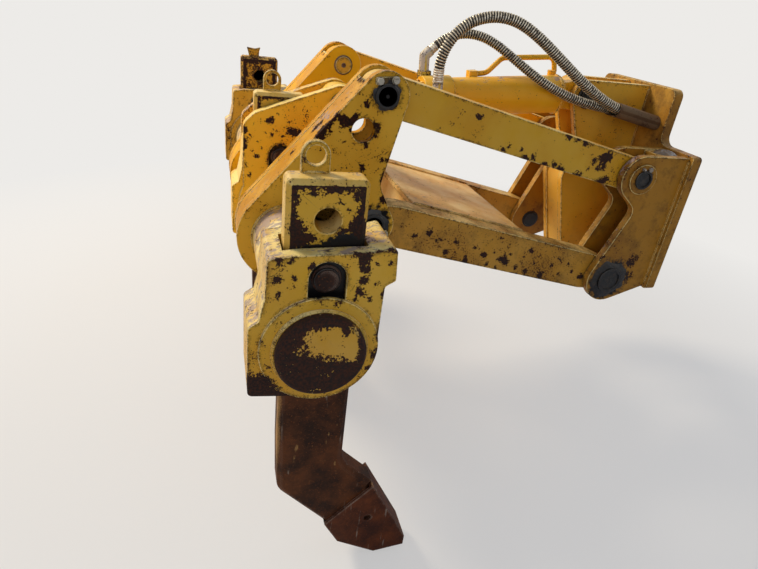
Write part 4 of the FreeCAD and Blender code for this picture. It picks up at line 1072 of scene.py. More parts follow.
@dataclass(frozen=True)
class GreaseNipple:
    """Straight grease nipple: hexagon, neck and ball head."""

    across: float = 11 * MM
    hex_height: float = 6 * MM
    neck: float = 3 * MM
    head: float = 3.6 * MM
    height: float = 16 * MM

    def shells(self, place: np.ndarray, out: np.ndarray) -> list[Shell]:
        """Surfaces of a nipple that stands on place and looks out."""
        neck, head, top = self.neck, self.head, self.height
        hexagon = turned(((self.across * 0.58, -MM), (self.across * 0.58, self.hex_height)), place, out, corners=6)
        stem = turned(
            ((neck, self.hex_height - MM), (neck, top - 6 * MM), (neck * 0.8, top - 5 * MM), (head, top - 3 * MM),
             (head, top - 1.5 * MM), (neck * 0.6, top)),
            place, out, corners=16,
        )
        return [hexagon, stem]


@dataclass(frozen=True)
class WeldBead:
    """Fillet weld laid by hand: a round bead with ripples.

    Attributes:
        radius: half width of the bead.
        ripple: distance between two ripples.
        swell: how far a ripple stands out, as a share of the radius.
    """

    radius: float = 6.5 * MM
    ripple: float = 7.0 * MM
    swell: float = 0.13
    step: float = 2.4 * MM
    corners: int = 7

    def size_along(self, run: np.ndarray, seed: int) -> np.ndarray:
        """Bead's size at each distance: 1 + swell * |sin(pi * run / ripple)| + slow drift."""
        drift = np.random.default_rng(seed).uniform(0, 2 * math.pi, 3)
        slow = sum(np.sin(run / (wave * MM) + turn) for wave, turn in zip((31, 53, 87), drift))
        return 1 + self.swell * np.abs(np.sin(math.pi * run / self.ripple)) + 0.035 * slow

    def ring(self, centre: np.ndarray, radius: float, axis: np.ndarray = Y_AXIS, seed: int = 1,
             start: float = 0.0, end: float = 360.0) -> Shell:
        """Bead along a circle, or along a part of it from start to end in degrees from x upwards."""
        whole = end - start >= 360
        count = max(8, int(radius * math.radians(end - start) / self.step))
        turn = np.radians(np.linspace(start, end, count, endpoint=not whole))
        helper = X_AXIS if abs(axis[0]) < 0.9 else Z_AXIS
        first = unit(helper - axis * (helper @ axis))
        second = -np.cross(axis, first)
        path = centre + radius * (np.cos(turn)[:, None] * first + np.sin(turn)[:, None] * second)
        size = self.size_along(turn * radius, seed)
        if not whole:
            size = size * self.taper(len(size))
        return swept(path, round_profile(self.radius, self.corners), axis, loop=whole, swell=size)

    def line(self, points: Sequence[Sequence[float]], seed: int = 1, reference: np.ndarray = Y_AXIS) -> Shell:
        """Bead along straight runs between points."""
        corners = np.asarray(points, float)
        spans = np.linalg.norm(np.diff(corners, axis=0), axis=1)
        marks = np.concatenate([[0], np.cumsum(spans)])
        run = np.linspace(0, marks[-1], max(4, int(marks[-1] / self.step)))
        path = np.stack([np.interp(run, marks, corners[:, axis]) for axis in range(3)], axis=-1)
        size = self.size_along(run, seed) * self.taper(len(run))
        return swept(path, round_profile(self.radius, self.corners), reference, swell=size)

    @staticmethod
    def taper(count: int) -> np.ndarray:
        """Narrows both ends: the square root of the distance to the nearer end, up to 1."""
        share = np.arange(count)
        nearest = np.minimum(share, share[::-1]) / 4
        return np.sqrt(np.clip(nearest, 0.02, 1))


@dataclass(frozen=True)
class PinKeeper:
    """Bar with two bolts that holds a pin at its plate.

    Attributes:
        rise: pin's middle to the bar's middle.
        length: bar's length.
        width: bar's width.
        thickness: bar's thickness.
        pitch: between the two bolts.
    """

    rise: float = 45 * MM
    length: float = 74 * MM
    width: float = 22 * MM
    thickness: float = 8 * MM
    pitch: float = 48 * MM
    bolt: Bolt = Bolt(across=19 * MM, height=9 * MM, washer=12 * MM)

    def shells(self, pin: np.ndarray, out: np.ndarray, lean: float) -> tuple[list[Shell], list[Shell]]:
        """Surfaces of a keeper beside a pin.

        Args:
            pin: middle of the pin on the plate's face.
            out: direction out of the plate.
            lean: angle of the bar's place round the pin, from x upwards, in radians.

        Returns:
            The bar, and its bolts with washers.
        """
        up = math.cos(lean) * X_AXIS + math.sin(lean) * Z_AXIS
        across = np.cross(up, out)
        middle = pin + up * self.rise
        outline = rounded_profile(self.length, self.width, 5 * MM)
        bolts = []
        for way in (-0.5, 0.5):
            foot = middle + across * self.pitch * way + out * self.thickness
            bolts += self.bolt.shells(foot, out, twist=0.3 + way)
        return [slab(outline, middle, across, up, self.thickness, 1.5 * MM)], bolts


@dataclass(frozen=True)
class PinCap:
    """Round steel cap on a pin's end: a raised rim round a dished face.

    Attributes:
        radius: outside of the cap.
        height: height of its rim.
        rim: width of the rim.
        dish: depth of the face below the rim.
    """

    radius: float
    height: float
    rim: float
    dish: float

    def shells(self, place: np.ndarray, out: np.ndarray) -> list[Shell]:
        """Surface of the cap, which stands on place and looks out."""
        bevel = min(1.5 * MM, self.height / 4)
        floor = self.height - self.dish
        return [turned(
            ((self.radius, -MM), (self.radius, self.height - bevel), (self.radius - bevel, self.height),
             (self.radius - self.rim, self.height), (self.radius - self.rim - bevel, floor), (0.15 * self.radius, floor),
             (0.12 * self.radius, floor - 0.3 * MM), (0.01 * self.radius, floor - 0.3 * MM)),
            place, out, corners=48,
        )]


def ring_band(centre: np.ndarray, out: np.ndarray, inner: float, width: float, height: float) -> Shell:
    """Flat ring with bevelled outer corner, standing on a face."""
    outer, bevel = inner + width, min(width, height) / 3
    count = 56
    turn = np.linspace(0, 2 * math.pi, count, endpoint=False)
    helper = X_AXIS if abs(out[0]) < 0.9 else Z_AXIS
    first = unit(helper - out * (helper @ out))
    second = np.cross(out, first)
    spokes = np.cos(turn)[:, None] * first + np.sin(turn)[:, None] * second
    section = ((inner, -MM), (outer, -MM), (outer, height - bevel), (outer - bevel, height), (inner, height))
    rings = np.stack([centre + radius * spokes + level * out for radius, level in section], axis=1)
    return lofted(rings, loop=True)


def smear(centre: np.ndarray, out: np.ndarray, radius: float, height: float, seed: int) -> Shell:
    """Lump of grease: a low dome whose rim wanders.

    Point (i, j) lies at radius * rho_i * (1 + waves(t_j)) from the centre and at
    height * (1 - rho_i ^ 2.5) * (1 + waves) above the face.

    Args:
        centre: middle of the lump on the face.
        out: direction out of the face.
        radius: mean radius.
        height: height at the middle.
        seed: picks its waves.

    Returns:
        The surface.
    """
    random = np.random.default_rng(seed)
    turn = np.linspace(0, 2 * math.pi, 64, endpoint=False)
    share = np.linspace(1, 0.02, 12)
    waves = sum(
        size * np.sin(count * turn + phase)
        for count, size, phase in zip((3, 5, 8, 13), (0.05, 0.045, 0.035, 0.03), random.uniform(0, 6.28, 4))
    )
    lumps = 1 + 0.10 * np.sin(9 * turn[None] + 14 * share[:, None] + random.uniform(0, 6))
    across = np.cross(out, Z_AXIS) if abs(out[2]) < 0.9 else X_AXIS
    up = np.cross(across, out)
    reach = radius * share[:, None] * (1 + waves[None] * share[:, None])
    rise = height * (1 - share[:, None] ** 2.5) * lumps
    rings = (
        centre
        + (reach * np.cos(turn))[..., None] * across
        + (reach * np.sin(turn))[..., None] * up
        + rise[..., None] * out
    )
    return lofted(rings)


# Hoses

def smooth_line(name: str, route: Sequence[Sequence[float]]) -> np.ndarray:
    """Points of the NURBS line that a route controls.

    Args:
        name: name of the passing curve.
        route: control points.

    Returns:
        Array (n, 3) of points close together.
    """
    curve = bpy.data.curves.new(name, "CURVE")
    curve.dimensions = "3D"
    curve.resolution_u = 16
    spline = curve.splines.new("NURBS")
    spline.points.add(len(route) - 1)
    for point, place in zip(spline.points, route):
        point.co = (*place, 1.0)
    spline.order_u = 3
    spline.use_endpoint_u = True
    carrier = bpy.data.objects.new(name, curve)
    line = bpy.data.meshes.new_from_object(carrier)
    points = np.array([vertex.co for vertex in line.vertices])
    bpy.data.objects.remove(carrier)
    bpy.data.curves.remove(curve)
    bpy.data.meshes.remove(line)
    return points


@dataclass
class Hose:
    """Hydraulic hose inside a coil of guard wire.

    Attributes:
        name: node that it replaces.
        route: control points of its line, from the cylinder to the ferrule.
        diameter: outside of the hose.
        length: its real length; not used.
        guard_start: length of bare hose at the cylinder.
        guard_end: length of bare hose at the ferrule.
        crimp: length of the crimped collar at the cylinder.
        flat: width of the guard wire over its thickness.
    """

    name: str
    route: tuple[tuple[float, float, float], ...]
    diameter: float
    length: float
    guard_start: float
    guard_end: float
    crimp: float
    flat: float = 1.55
    corners: int = 20
    wire: float = 1.55 * MM
    pitch: float = 9.5 * MM
    wire_corners: int = 6
    steps_per_turn: int = 18
    bend_start: tuple[float, float, float] = (-0.262, -0.12, 0.40)
    bend_end: tuple[float, float, float] = (-0.90, -0.12, 0.40)

    def build(self, rubber: bpy.types.Material, wire: bpy.types.Material, zinc: bpy.types.Material) -> None:
        line = smooth_line(f"{self.name}_line", self.route)
        keep = np.concatenate([[True], np.linalg.norm(np.diff(line, axis=0), axis=1) > 1e-5])
        line = line[keep]
        body = swept(line, round_profile(self.diameter / 2, self.corners))
        hose = loose_piece(f"{self.name}_rubber", rubber, [body])
        guard = loose_piece(f"{self.name}_guard", wire, [self.coil(line)])
        collar = loose_piece(f"{self.name}_collar", zinc, [self.collar(line)])
        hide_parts(self.name)
        for piece in (hose, guard, collar):
            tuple(self.bend_start)
            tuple(self.bend_end)
            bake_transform(piece)
        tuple(self.route[0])

    def collar(self, line: np.ndarray) -> Shell:
        """Collar crimped on the hose: its radius is the hose's plus 2.4 mm less a groove every 8 mm."""
        marks = np.concatenate([[0], np.cumsum(np.linalg.norm(np.diff(line, axis=0), axis=1))])
        run = np.linspace(0.0, self.crimp, 41)
        middle = np.stack([np.interp(run, marks, line[:, axis]) for axis in range(3)], axis=-1)
        groove = np.clip(np.cos(2 * math.pi * run / (8 * MM)), 0, 1) ** 2
        groove[[0, -1]] = 2.0
        return swept(middle, round_profile(1.0, self.corners), swell=self.diameter / 2 + (2.4 - 1.1 * groove) * MM)

    def coil(self, line: np.ndarray) -> Shell:
        """Guard wire wound round the line.

        The wire's middle at distance s is line(s) + r * (cos(a) * side + sin(a) * up), with
        a = 2 pi s / pitch.
        """
        spans = np.linalg.norm(np.diff(line, axis=0), axis=1)
        marks = np.concatenate([[0], np.cumsum(spans)])
        turns = (marks[-1] - self.guard_start - self.guard_end) / self.pitch
        run = np.linspace(self.guard_start, marks[-1] - self.guard_end, int(turns * self.steps_per_turn))
        middle = np.stack([np.interp(run, marks, line[:, axis]) for axis in range(3)], axis=-1)
        along = unit(np.gradient(middle, axis=0))
        side = unit(np.cross(along, Y_AXIS))
        up = np.cross(side, along)
        angle = 2 * math.pi * run / self.pitch
        radial = np.cos(angle)[:, None] * side + np.sin(angle)[:, None] * up
        path = middle + (self.diameter / 2 + self.wire * 0.8) * radial
        heading = unit(np.gradient(path, axis=0))
        inward = unit(np.cross(heading, radial))
        profile = round_profile(self.wire, self.wire_corners) * (1.0, self.flat)
        rings = path[:, None] + profile[None, :, 0, None] * radial[:, None] + profile[None, :, 1, None] * inward[:, None]
        return lofted(rings)


OUTER_ROUTE = (
    (-0.95575, -0.092, 0.44463), (-0.96084, -0.092, 0.49839), (-0.9508, -0.0923, 0.5512),
    (-0.9262, -0.0933, 0.5994), (-0.8892, -0.095, 0.6388), (-0.8421, -0.098, 0.6646),
    (-0.7877, -0.102, 0.6775), (-0.7319, -0.107, 0.6766), (-0.6781, -0.113, 0.6624),
    (-0.6133, -0.122, 0.6298), (-0.5352, -0.132, 0.5801), (-0.4431, -0.146, 0.5170),
    (-0.3583, -0.158, 0.4640), (-0.2750, -0.168, 0.4240), (-0.187244, -0.172, 0.398621),
    (-0.098898, -0.172, 0.381449),
)
INNER_ROUTE = (
    (-0.95470, 0.030, 0.53944), (-0.92381, 0.030, 0.57077), (-0.8862, 0.028, 0.5936),
    (-0.8442, 0.023, 0.6068), (-0.8003, 0.014, 0.6094), (-0.7571, 0.002, 0.6013),
    (-0.7148, -0.013, 0.5833), (-0.6663, -0.033, 0.5553), (-0.6030, -0.058, 0.5150),
    (-0.5243, -0.084, 0.4714), (-0.4409, -0.104, 0.4377), (-0.3483, -0.118, 0.4163),
    (-0.2641, -0.126, 0.4045), (-0.187244, -0.128, 0.398621), (-0.098898, -0.128, 0.381449),
)


@dataclass
class Hoses:
    """The cylinder's two hoses, from its ports to the guide on the bracket."""

    outer: Hose = field(default_factory=lambda: Hose("outer_hose", OUTER_ROUTE, 0.034, 1.092, 0.052, 0.075, 0.048))
    inner: Hose = field(default_factory=lambda: Hose("inner_hose", INNER_ROUTE, 0.030, 0.942, 0.028, 0.075, 0.024))

    def build(self) -> None:
        """Makes both hoses with their guards."""
        rubber = Rubber("hose_rubber").material()
        wire = PlatedSteel("guard_wire", metal="#C4BBA8", dirt="#6A5D49", roughness=0.42, dirty=0.45).material()
        zinc = PlatedSteel("collar_zinc", metal="#CFC6B6", dirt="#94836A", roughness=0.45, dirty=0.4).material()
        for hose in (self.outer, self.inner):
            hose.build(rubber, wire, zinc)


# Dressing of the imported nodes

def smoothing_group() -> bpy.types.GeometryNodeTree:
    """Geometry node group that shades every face smooth."""
    group = bpy.data.node_groups.new("shade_smooth", "GeometryNodeTree")
    group.interface.new_socket("Geometry", in_out="INPUT", socket_type="NodeSocketGeometry")
    group.interface.new_socket("Geometry", in_out="OUTPUT", socket_type="NodeSocketGeometry")
    source, sink = group.nodes.new("NodeGroupInput"), group.nodes.new("NodeGroupOutput")
    smooth = group.nodes.new("GeometryNodeSetShadeSmooth")
    group.links.new(source.outputs[0], smooth.inputs[0])
    group.links.new(smooth.outputs[0], sink.inputs[0])
    return group


@dataclass
class Dresser:
    """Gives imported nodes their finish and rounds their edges.

    Attributes:
        smoothing: geometry node group that shades smooth.
    """

    smoothing: bpy.types.GeometryNodeTree

    def dress(self, node: str, finish: bpy.types.Material, edge: float = 2.5 * MM, segments: int = 3) -> None:
        """Dresses one node.

        Args:
            node: name of the node.
            finish: its material.
            edge: width of its rounded edges; 0 leaves them sharp.
            segments: faces across a rounded edge.
        """
        thing = frame["nodes"][node]
        for slot in thing.material_slots:
            slot.material = finish
        if not edge:
            return
        weld = thing.modifiers.new("merge", "WELD")
        weld.merge_threshold = 0.01 * MM
        flat = thing.modifiers.new("flatten", "DECIMATE")
        flat.decimate_type = "DISSOLVE"
        flat.angle_limit = math.radians(0.6)
        smooth = thing.modifiers.new("smooth", "NODES")
        smooth.node_group = self.smoothing
        bevel = thing.modifiers.new("edges", "BEVEL")
        bevel.width, bevel.segments = edge, segments
        bevel.limit_method, bevel.angle_limit = "ANGLE", math.radians(32)
        bevel.use_clamp_overlap = True
        normals = thing.modifiers.new("normals", "WEIGHTED_NORMAL")
        normals.keep_sharp = False


# Sub-assemblies

@dataclass
class ToolBeam:
    """Tube, pockets, clevises, pins and what is welded to them.

    Lengths are from a station's middle, or from the tube's axis.
    """

    tube_radius: float = 0.108
    spacing: float = 0.950
    half_pocket: float = 0.089
    cap_radius: float = 0.104
    shank_pin: tuple[float, float] = (0.008, 0.171)
    pin_end: float = 0.071
    centre_pin_end: float = 0.079

    def build(self, dresser: Dresser) -> None:
        """Dresses the beam's nodes and adds welds, keepers and grease."""
        cast = Enamel("cast_steel_enamel", faded_and_lit_paint="#FAE596", chips=0.02, specks=0.02, scuffs=0.8, cast=0.5,
                      edge_chips=0.26, marks=self.pocket_marks()).material()
        # the centre pocket and its ears take a brighter, more orange coat than the outer pockets: painted light, as of
        # sunlight bounced from the plates round them
        inner = Enamel("ear_casting_lit_enamel", coat="#FFC01A", faded_and_lit_paint="#FADA7C", deep="#F0A410", chips=0.02,
                       specks=0.04, scuffs=0.4, cast=0.4, edge_chips=0.24, dusty=0.0,
                       marks=self.pocket_marks()).material()
        # on the near clevis plate, faces toward the main lamp take a deep orange: painted warm sunlight
        plate = Enamel("clevis_plate_enamel", coat="#E6B038", faded_and_lit_paint="#C4860A", chips=0.0, edge_chips=0.20,
                       corners=0.2, dusty=0.0, gloss=0.12, marks=self.clevis_marks()).material()
        # the far clevis takes a brighter, more orange coat: painted light, as of sunlight bounced from nearby plates
        far_plate_lit = Enamel("far_clevis_lit_enamel", coat="#FBBB18", faded_and_lit_paint="#CE900C", deep="#EEA40E", chips=-0.04,
                           edge_chips=0.18, corners=0.2, dusty=0.0, gloss=0.12).material()
        tube = Enamel("tube_enamel", coat="#E8B840", faded_and_lit_paint="#FFF0B0", scuffs=1.1, specks=0.02,
                      edge_chips=0.2).material()
        for side, finish in zip(("right", "centre", "left"), (cast, inner, cast)):
            dresser.dress(f"pocket_{side}", finish, 4 * MM)
        dresser.dress("beam_tubes", tube, 0)
        island = (
            Mark(Stain.RUST, (-1.492, -1.071, 0.016), 0.056, -0.62, (0.85, 1.0, 1.45)),
            Mark(Stain.RUST, (-1.452, -1.071, -0.004), 0.028, -0.50, (1.1, 1.0, 0.9)),
            Mark(Stain.RUST, (-1.468, -1.071, 0.020), 0.026, 0.50, (2.6, 1.0, 0.55)),
            Mark(Stain.RUST, (-1.418, -1.071, 0.020), 0.020, 0.40, (1.0, 1.0, 0.45)),
            Mark(Stain.RUST, (-1.500, -1.071, 0.072), 0.012, 0.40, (0.25, 1.0, 1.0)),
        )
        caps = Enamel("cap_enamel", coat="#CF9820", faded_and_lit_paint="#FFF0B0", chips=0.48, specks=0.04, edge_chips=0.2,
                      rounded=0.2, marks=island)
        dresser.dress("end_caps", caps.material())
        for side, finish in (("right", plate), ("left", far_plate_lit)):
            dresser.dress(f"clevis_{side}", finish, 2 * MM)
        grease = Grease("black_grease").material()
        pins = Enamel("painted_pin", specks=0.03, marks=(
            Mark(Stain.GREASE, (-1.2316, -0.410, 0.436), 0.10, 1.0),
            Mark(Stain.GREASE, (-1.2316, -0.410, 0.020), 0.10, 1.0),
        )).material()
        dresser.dress("beam_pins", pins, 2 * MM)
        dresser.dress("rod_pin_ends", grease, 2 * MM)
        dresser.dress("shank_pins", Grease("shank_pin_steel", black="#1A1210", dusty="#4A3224", share=0.9).material(), 2 * MM)
        self.welds(Enamel("weld_enamel", faded_and_lit_paint="#F8E296", specks=0.02, rounded=0.0).material())
        self.pin_details(grease)

    def pocket_marks(self) -> tuple[Mark, ...]:
        """Stains of the right pocket's outer side and of the near ear, and painted shadow inside the shank slots."""
        side = rust_marks(-1.031, (
            (-1.447, 0.214, 0.011), (-1.430, 0.203, 0.014), (-1.423, 0.176, 0.012), (-1.428, 0.150, 0.011),
            (-1.430, 0.122, 0.013), (-1.440, 0.104, 0.008), (-1.403, 0.231, 0.010), (-1.472, 0.228, 0.011),
            (-1.493, 0.230, 0.009), (-1.526, 0.224, 0.009), (-1.584, 0.202, 0.009), (-1.612, 0.199, 0.009),
            (-1.540, 0.186, 0.009), (-1.614, 0.160, 0.009), (-1.579, 0.158, 0.005), (-1.612, 0.119, 0.006),
            (-1.393, 0.138, 0.008), (-1.376, 0.116, 0.008), (-1.407, 0.101, 0.006), (-1.482, 0.096, 0.010),
            (-1.505, 0.099, 0.008), (-1.370, 0.222, 0.009), (-1.366, 0.190, 0.007), (-1.400, 0.190, 0.005),
            (-1.655, -0.115, 0.030), (-1.636, -0.150, 0.030), (-1.605, -0.156, 0.020),
            (-1.368, 0.010, 0.014), (-1.372, -0.045, 0.018), (-1.385, -0.085, 0.014),
        ))
        ear = rust_marks(-0.089, (
            (-1.551, 0.278, 0.012), (-1.538, 0.282, 0.007), (-1.517, 0.300, 0.006), (-1.470, 0.240, 0.014),
            (-1.450, 0.238, 0.012), (-1.636, 0.205, 0.016), (-1.632, 0.180, 0.012), (-1.591, 0.150, 0.008),
            (-1.541, 0.231, 0.006), (-1.571, 0.180, 0.005), (-1.387, 0.405, 0.010), (-1.612, 0.085, 0.009),
            (-1.634, 0.242, 0.011), (-1.560, 0.236, 0.004), (-1.520, 0.246, 0.004), (-1.500, 0.225, 0.005),
            (-1.610, 0.222, 0.005), (-1.585, 0.205, 0.004), (-1.640, 0.150, 0.008), (-1.625, 0.120, 0.006),
            (-1.600, 0.260, 0.004), (-1.480, 0.270, 0.005), (-1.575, 0.110, 0.005), (-1.550, 0.160, 0.004),
        ))
        # black, drawn as grease, on the slots' inner walls under the pocket tops: painted shadow inside the slot
        # openings
        slot_shadows = tuple(
            Mark(Stain.GREASE, (-1.506, y, 0.136), 0.062, 1.0, (1.0, 3.0, 1.0))
            for y in (-1.008, -0.892, -0.058, 0.058, 0.892, 1.008)
        )
        return side + ear + slot_shadows

    def clevis_marks(self) -> tuple[Mark, ...]:
        """Stains of the right clevis's outer plate."""
        face = -LINKAGE.station - LINKAGE.outer_face
        rust = rust_marks(face, (
            (-1.356, 0.355, 0.017), (-1.331, 0.358, 0.012), (-1.320, 0.376, 0.010), (-1.256, 0.345, 0.016),
            (-1.331, 0.330, 0.009), (-1.284, 0.291, 0.010), (-1.262, 0.318, 0.007), (-1.383, 0.376, 0.013),
            (-1.396, 0.356, 0.010), (-1.414, 0.332, 0.020), (-1.430, 0.312, 0.018), (-1.289, 0.408, 0.009),
            (-1.290, 0.223, 0.008), (-1.284, 0.210, 0.007), (-1.212, 0.184, 0.014), (-1.208, 0.210, 0.008),
            (-1.216, 0.240, 0.010), (-1.202, 0.110, 0.016), (-1.250, 0.485, 0.007), (-1.350, 0.290, 0.005),
        ))
        between = rust_marks(-0.33, ((-1.423, 0.341, 0.016), (-1.436, 0.322, 0.014), (-1.505, 0.240, 0.014)))
        upper, lower = spot(LINKAGE.rear_pin(True), face), spot(LINKAGE.rear_pin(False), face)
        grease = (
            Mark(Stain.GREASE, tuple(upper), 0.043, 0.8),
            Mark(Stain.GREASE, tuple(lower), 0.070, 0.7),
        )
        return rust + between + grease

    def welds(self, finish: bpy.types.Material) -> None:
        """Beads where plates, pockets and caps meet the tube."""
        bead, shells = WeldBead(), []
        tube = LINKAGE.tube
        for number, (_, sign) in enumerate(SIDES):
            for way in (-1, 1):
                face = LINKAGE.station * sign + LINKAGE.outer_face * way
                shells.append(bead.ring(spot(tube, face), self.tube_radius, seed=number * 2 + way + 1))
            outside = (self.spacing + self.half_pocket) * sign
            smooth = WeldBead(radius=8 * MM, swell=0.05)
            shells.append(smooth.ring(spot(tube, outside), self.cap_radius, seed=9))
            for junction in (self.half_pocket, self.spacing - self.half_pocket):
                shells.append(bead.ring(spot(tube, junction * sign), self.tube_radius, seed=7 + number))
        make_piece("beam_welds", "beam", finish, shells)

    def pin_details(self, grease: bpy.types.Material) -> None:
        """Caps and keepers of the clevis pins, ends of the shank pins and the grease round them."""
        bars, bolts, caps, lumps, rings = [], [], [], [], []
        for side, sign in SIDES:
            out = Y_AXIS * sign
            face = (LINKAGE.station + LINKAGE.outer_face) * sign
            inner = (LINKAGE.station - LINKAGE.outer_face) * sign
            upper, lower = spot(LINKAGE.rear_pin(True), face), spot(LINKAGE.rear_pin(False), face)
            for pin, lean in ((upper, 96), (lower, -62)):
                bar, fixings = PinKeeper().shells(pin, out, math.radians(lean))
                bars += bar
                bolts += fixings
            caps += PinCap(37 * MM, 12 * MM, 8 * MM, 4 * MM).shells(upper, out)
            caps += PinCap(40 * MM, 12 * MM, 8 * MM, 4 * MM).shells(lower, out)
            lumps.append(smear(upper, out, 42 * MM, 2.5 * MM, seed=4 + sign))
            lumps.append(smear(lower, out, 54 * MM, 8 * MM, seed=8 + sign))
            for upper_row, radius in ((True, LINKAGE.upper_pin_radius), (False, LINKAGE.lower_pin_radius)):
                end = spot(LINKAGE.rear_pin(upper_row), inner)
                rings.append(ring_band(end, -out, radius + 0.2 * MM, 4.5 * MM, 3 * MM))
                rings += PinCap(9 * MM, 1.2 * MM, 2 * MM, 0.6 * MM).shells(end - out * LINKAGE.pin_stand, -out)
        ahead, up = self.shank_pin
        pin = LINKAGE.tube + np.array([ahead, up])
        for _, station in STATIONS:
            reach = self.centre_pin_end if station == 0 else self.pin_end
            for way in (-1, 1):
                end = spot(pin, self.spacing * station + reach * way)
                rings += PinCap(25.5 * MM, 4 * MM, 4 * MM, 1.6 * MM).shells(end, Y_AXIS * way)
                rings.append(ring_band(end - Y_AXIS * way * 10 * MM, Y_AXIS * way, 29 * MM, 5 * MM, 5 * MM))
        dull = PlatedSteel("keeper_bolt_steel", metal="#A8A395", dirt="#6A5C4C", roughness=0.36, dirty=0.4, grain=60)
        bar_paint = Enamel("keeper_paint", coat="#6E5420", faded_and_lit_paint="#8A713C", deep="#4E3A18", dusty=0.4,
                           marks=(Mark(Stain.GREASE, (-1.2316, -0.41, 0.455), 0.045, 0.5),)).material()
        make_piece("clevis_pin_keepers", "beam", bar_paint, bars)
        make_piece("keeper_bolts", "beam", dull.material(), bolts)
        make_piece("clevis_pin_caps", "beam", grease, caps)
        make_piece("clevis_pin_grease", "beam", grease, lumps)
        worn = RustedSteel("worn_pin_end", dark="#2B1D17", brown="#4A2E20", bright="#A08F80").material()
        make_piece("pin_end_rings", "beam", worn, rings)


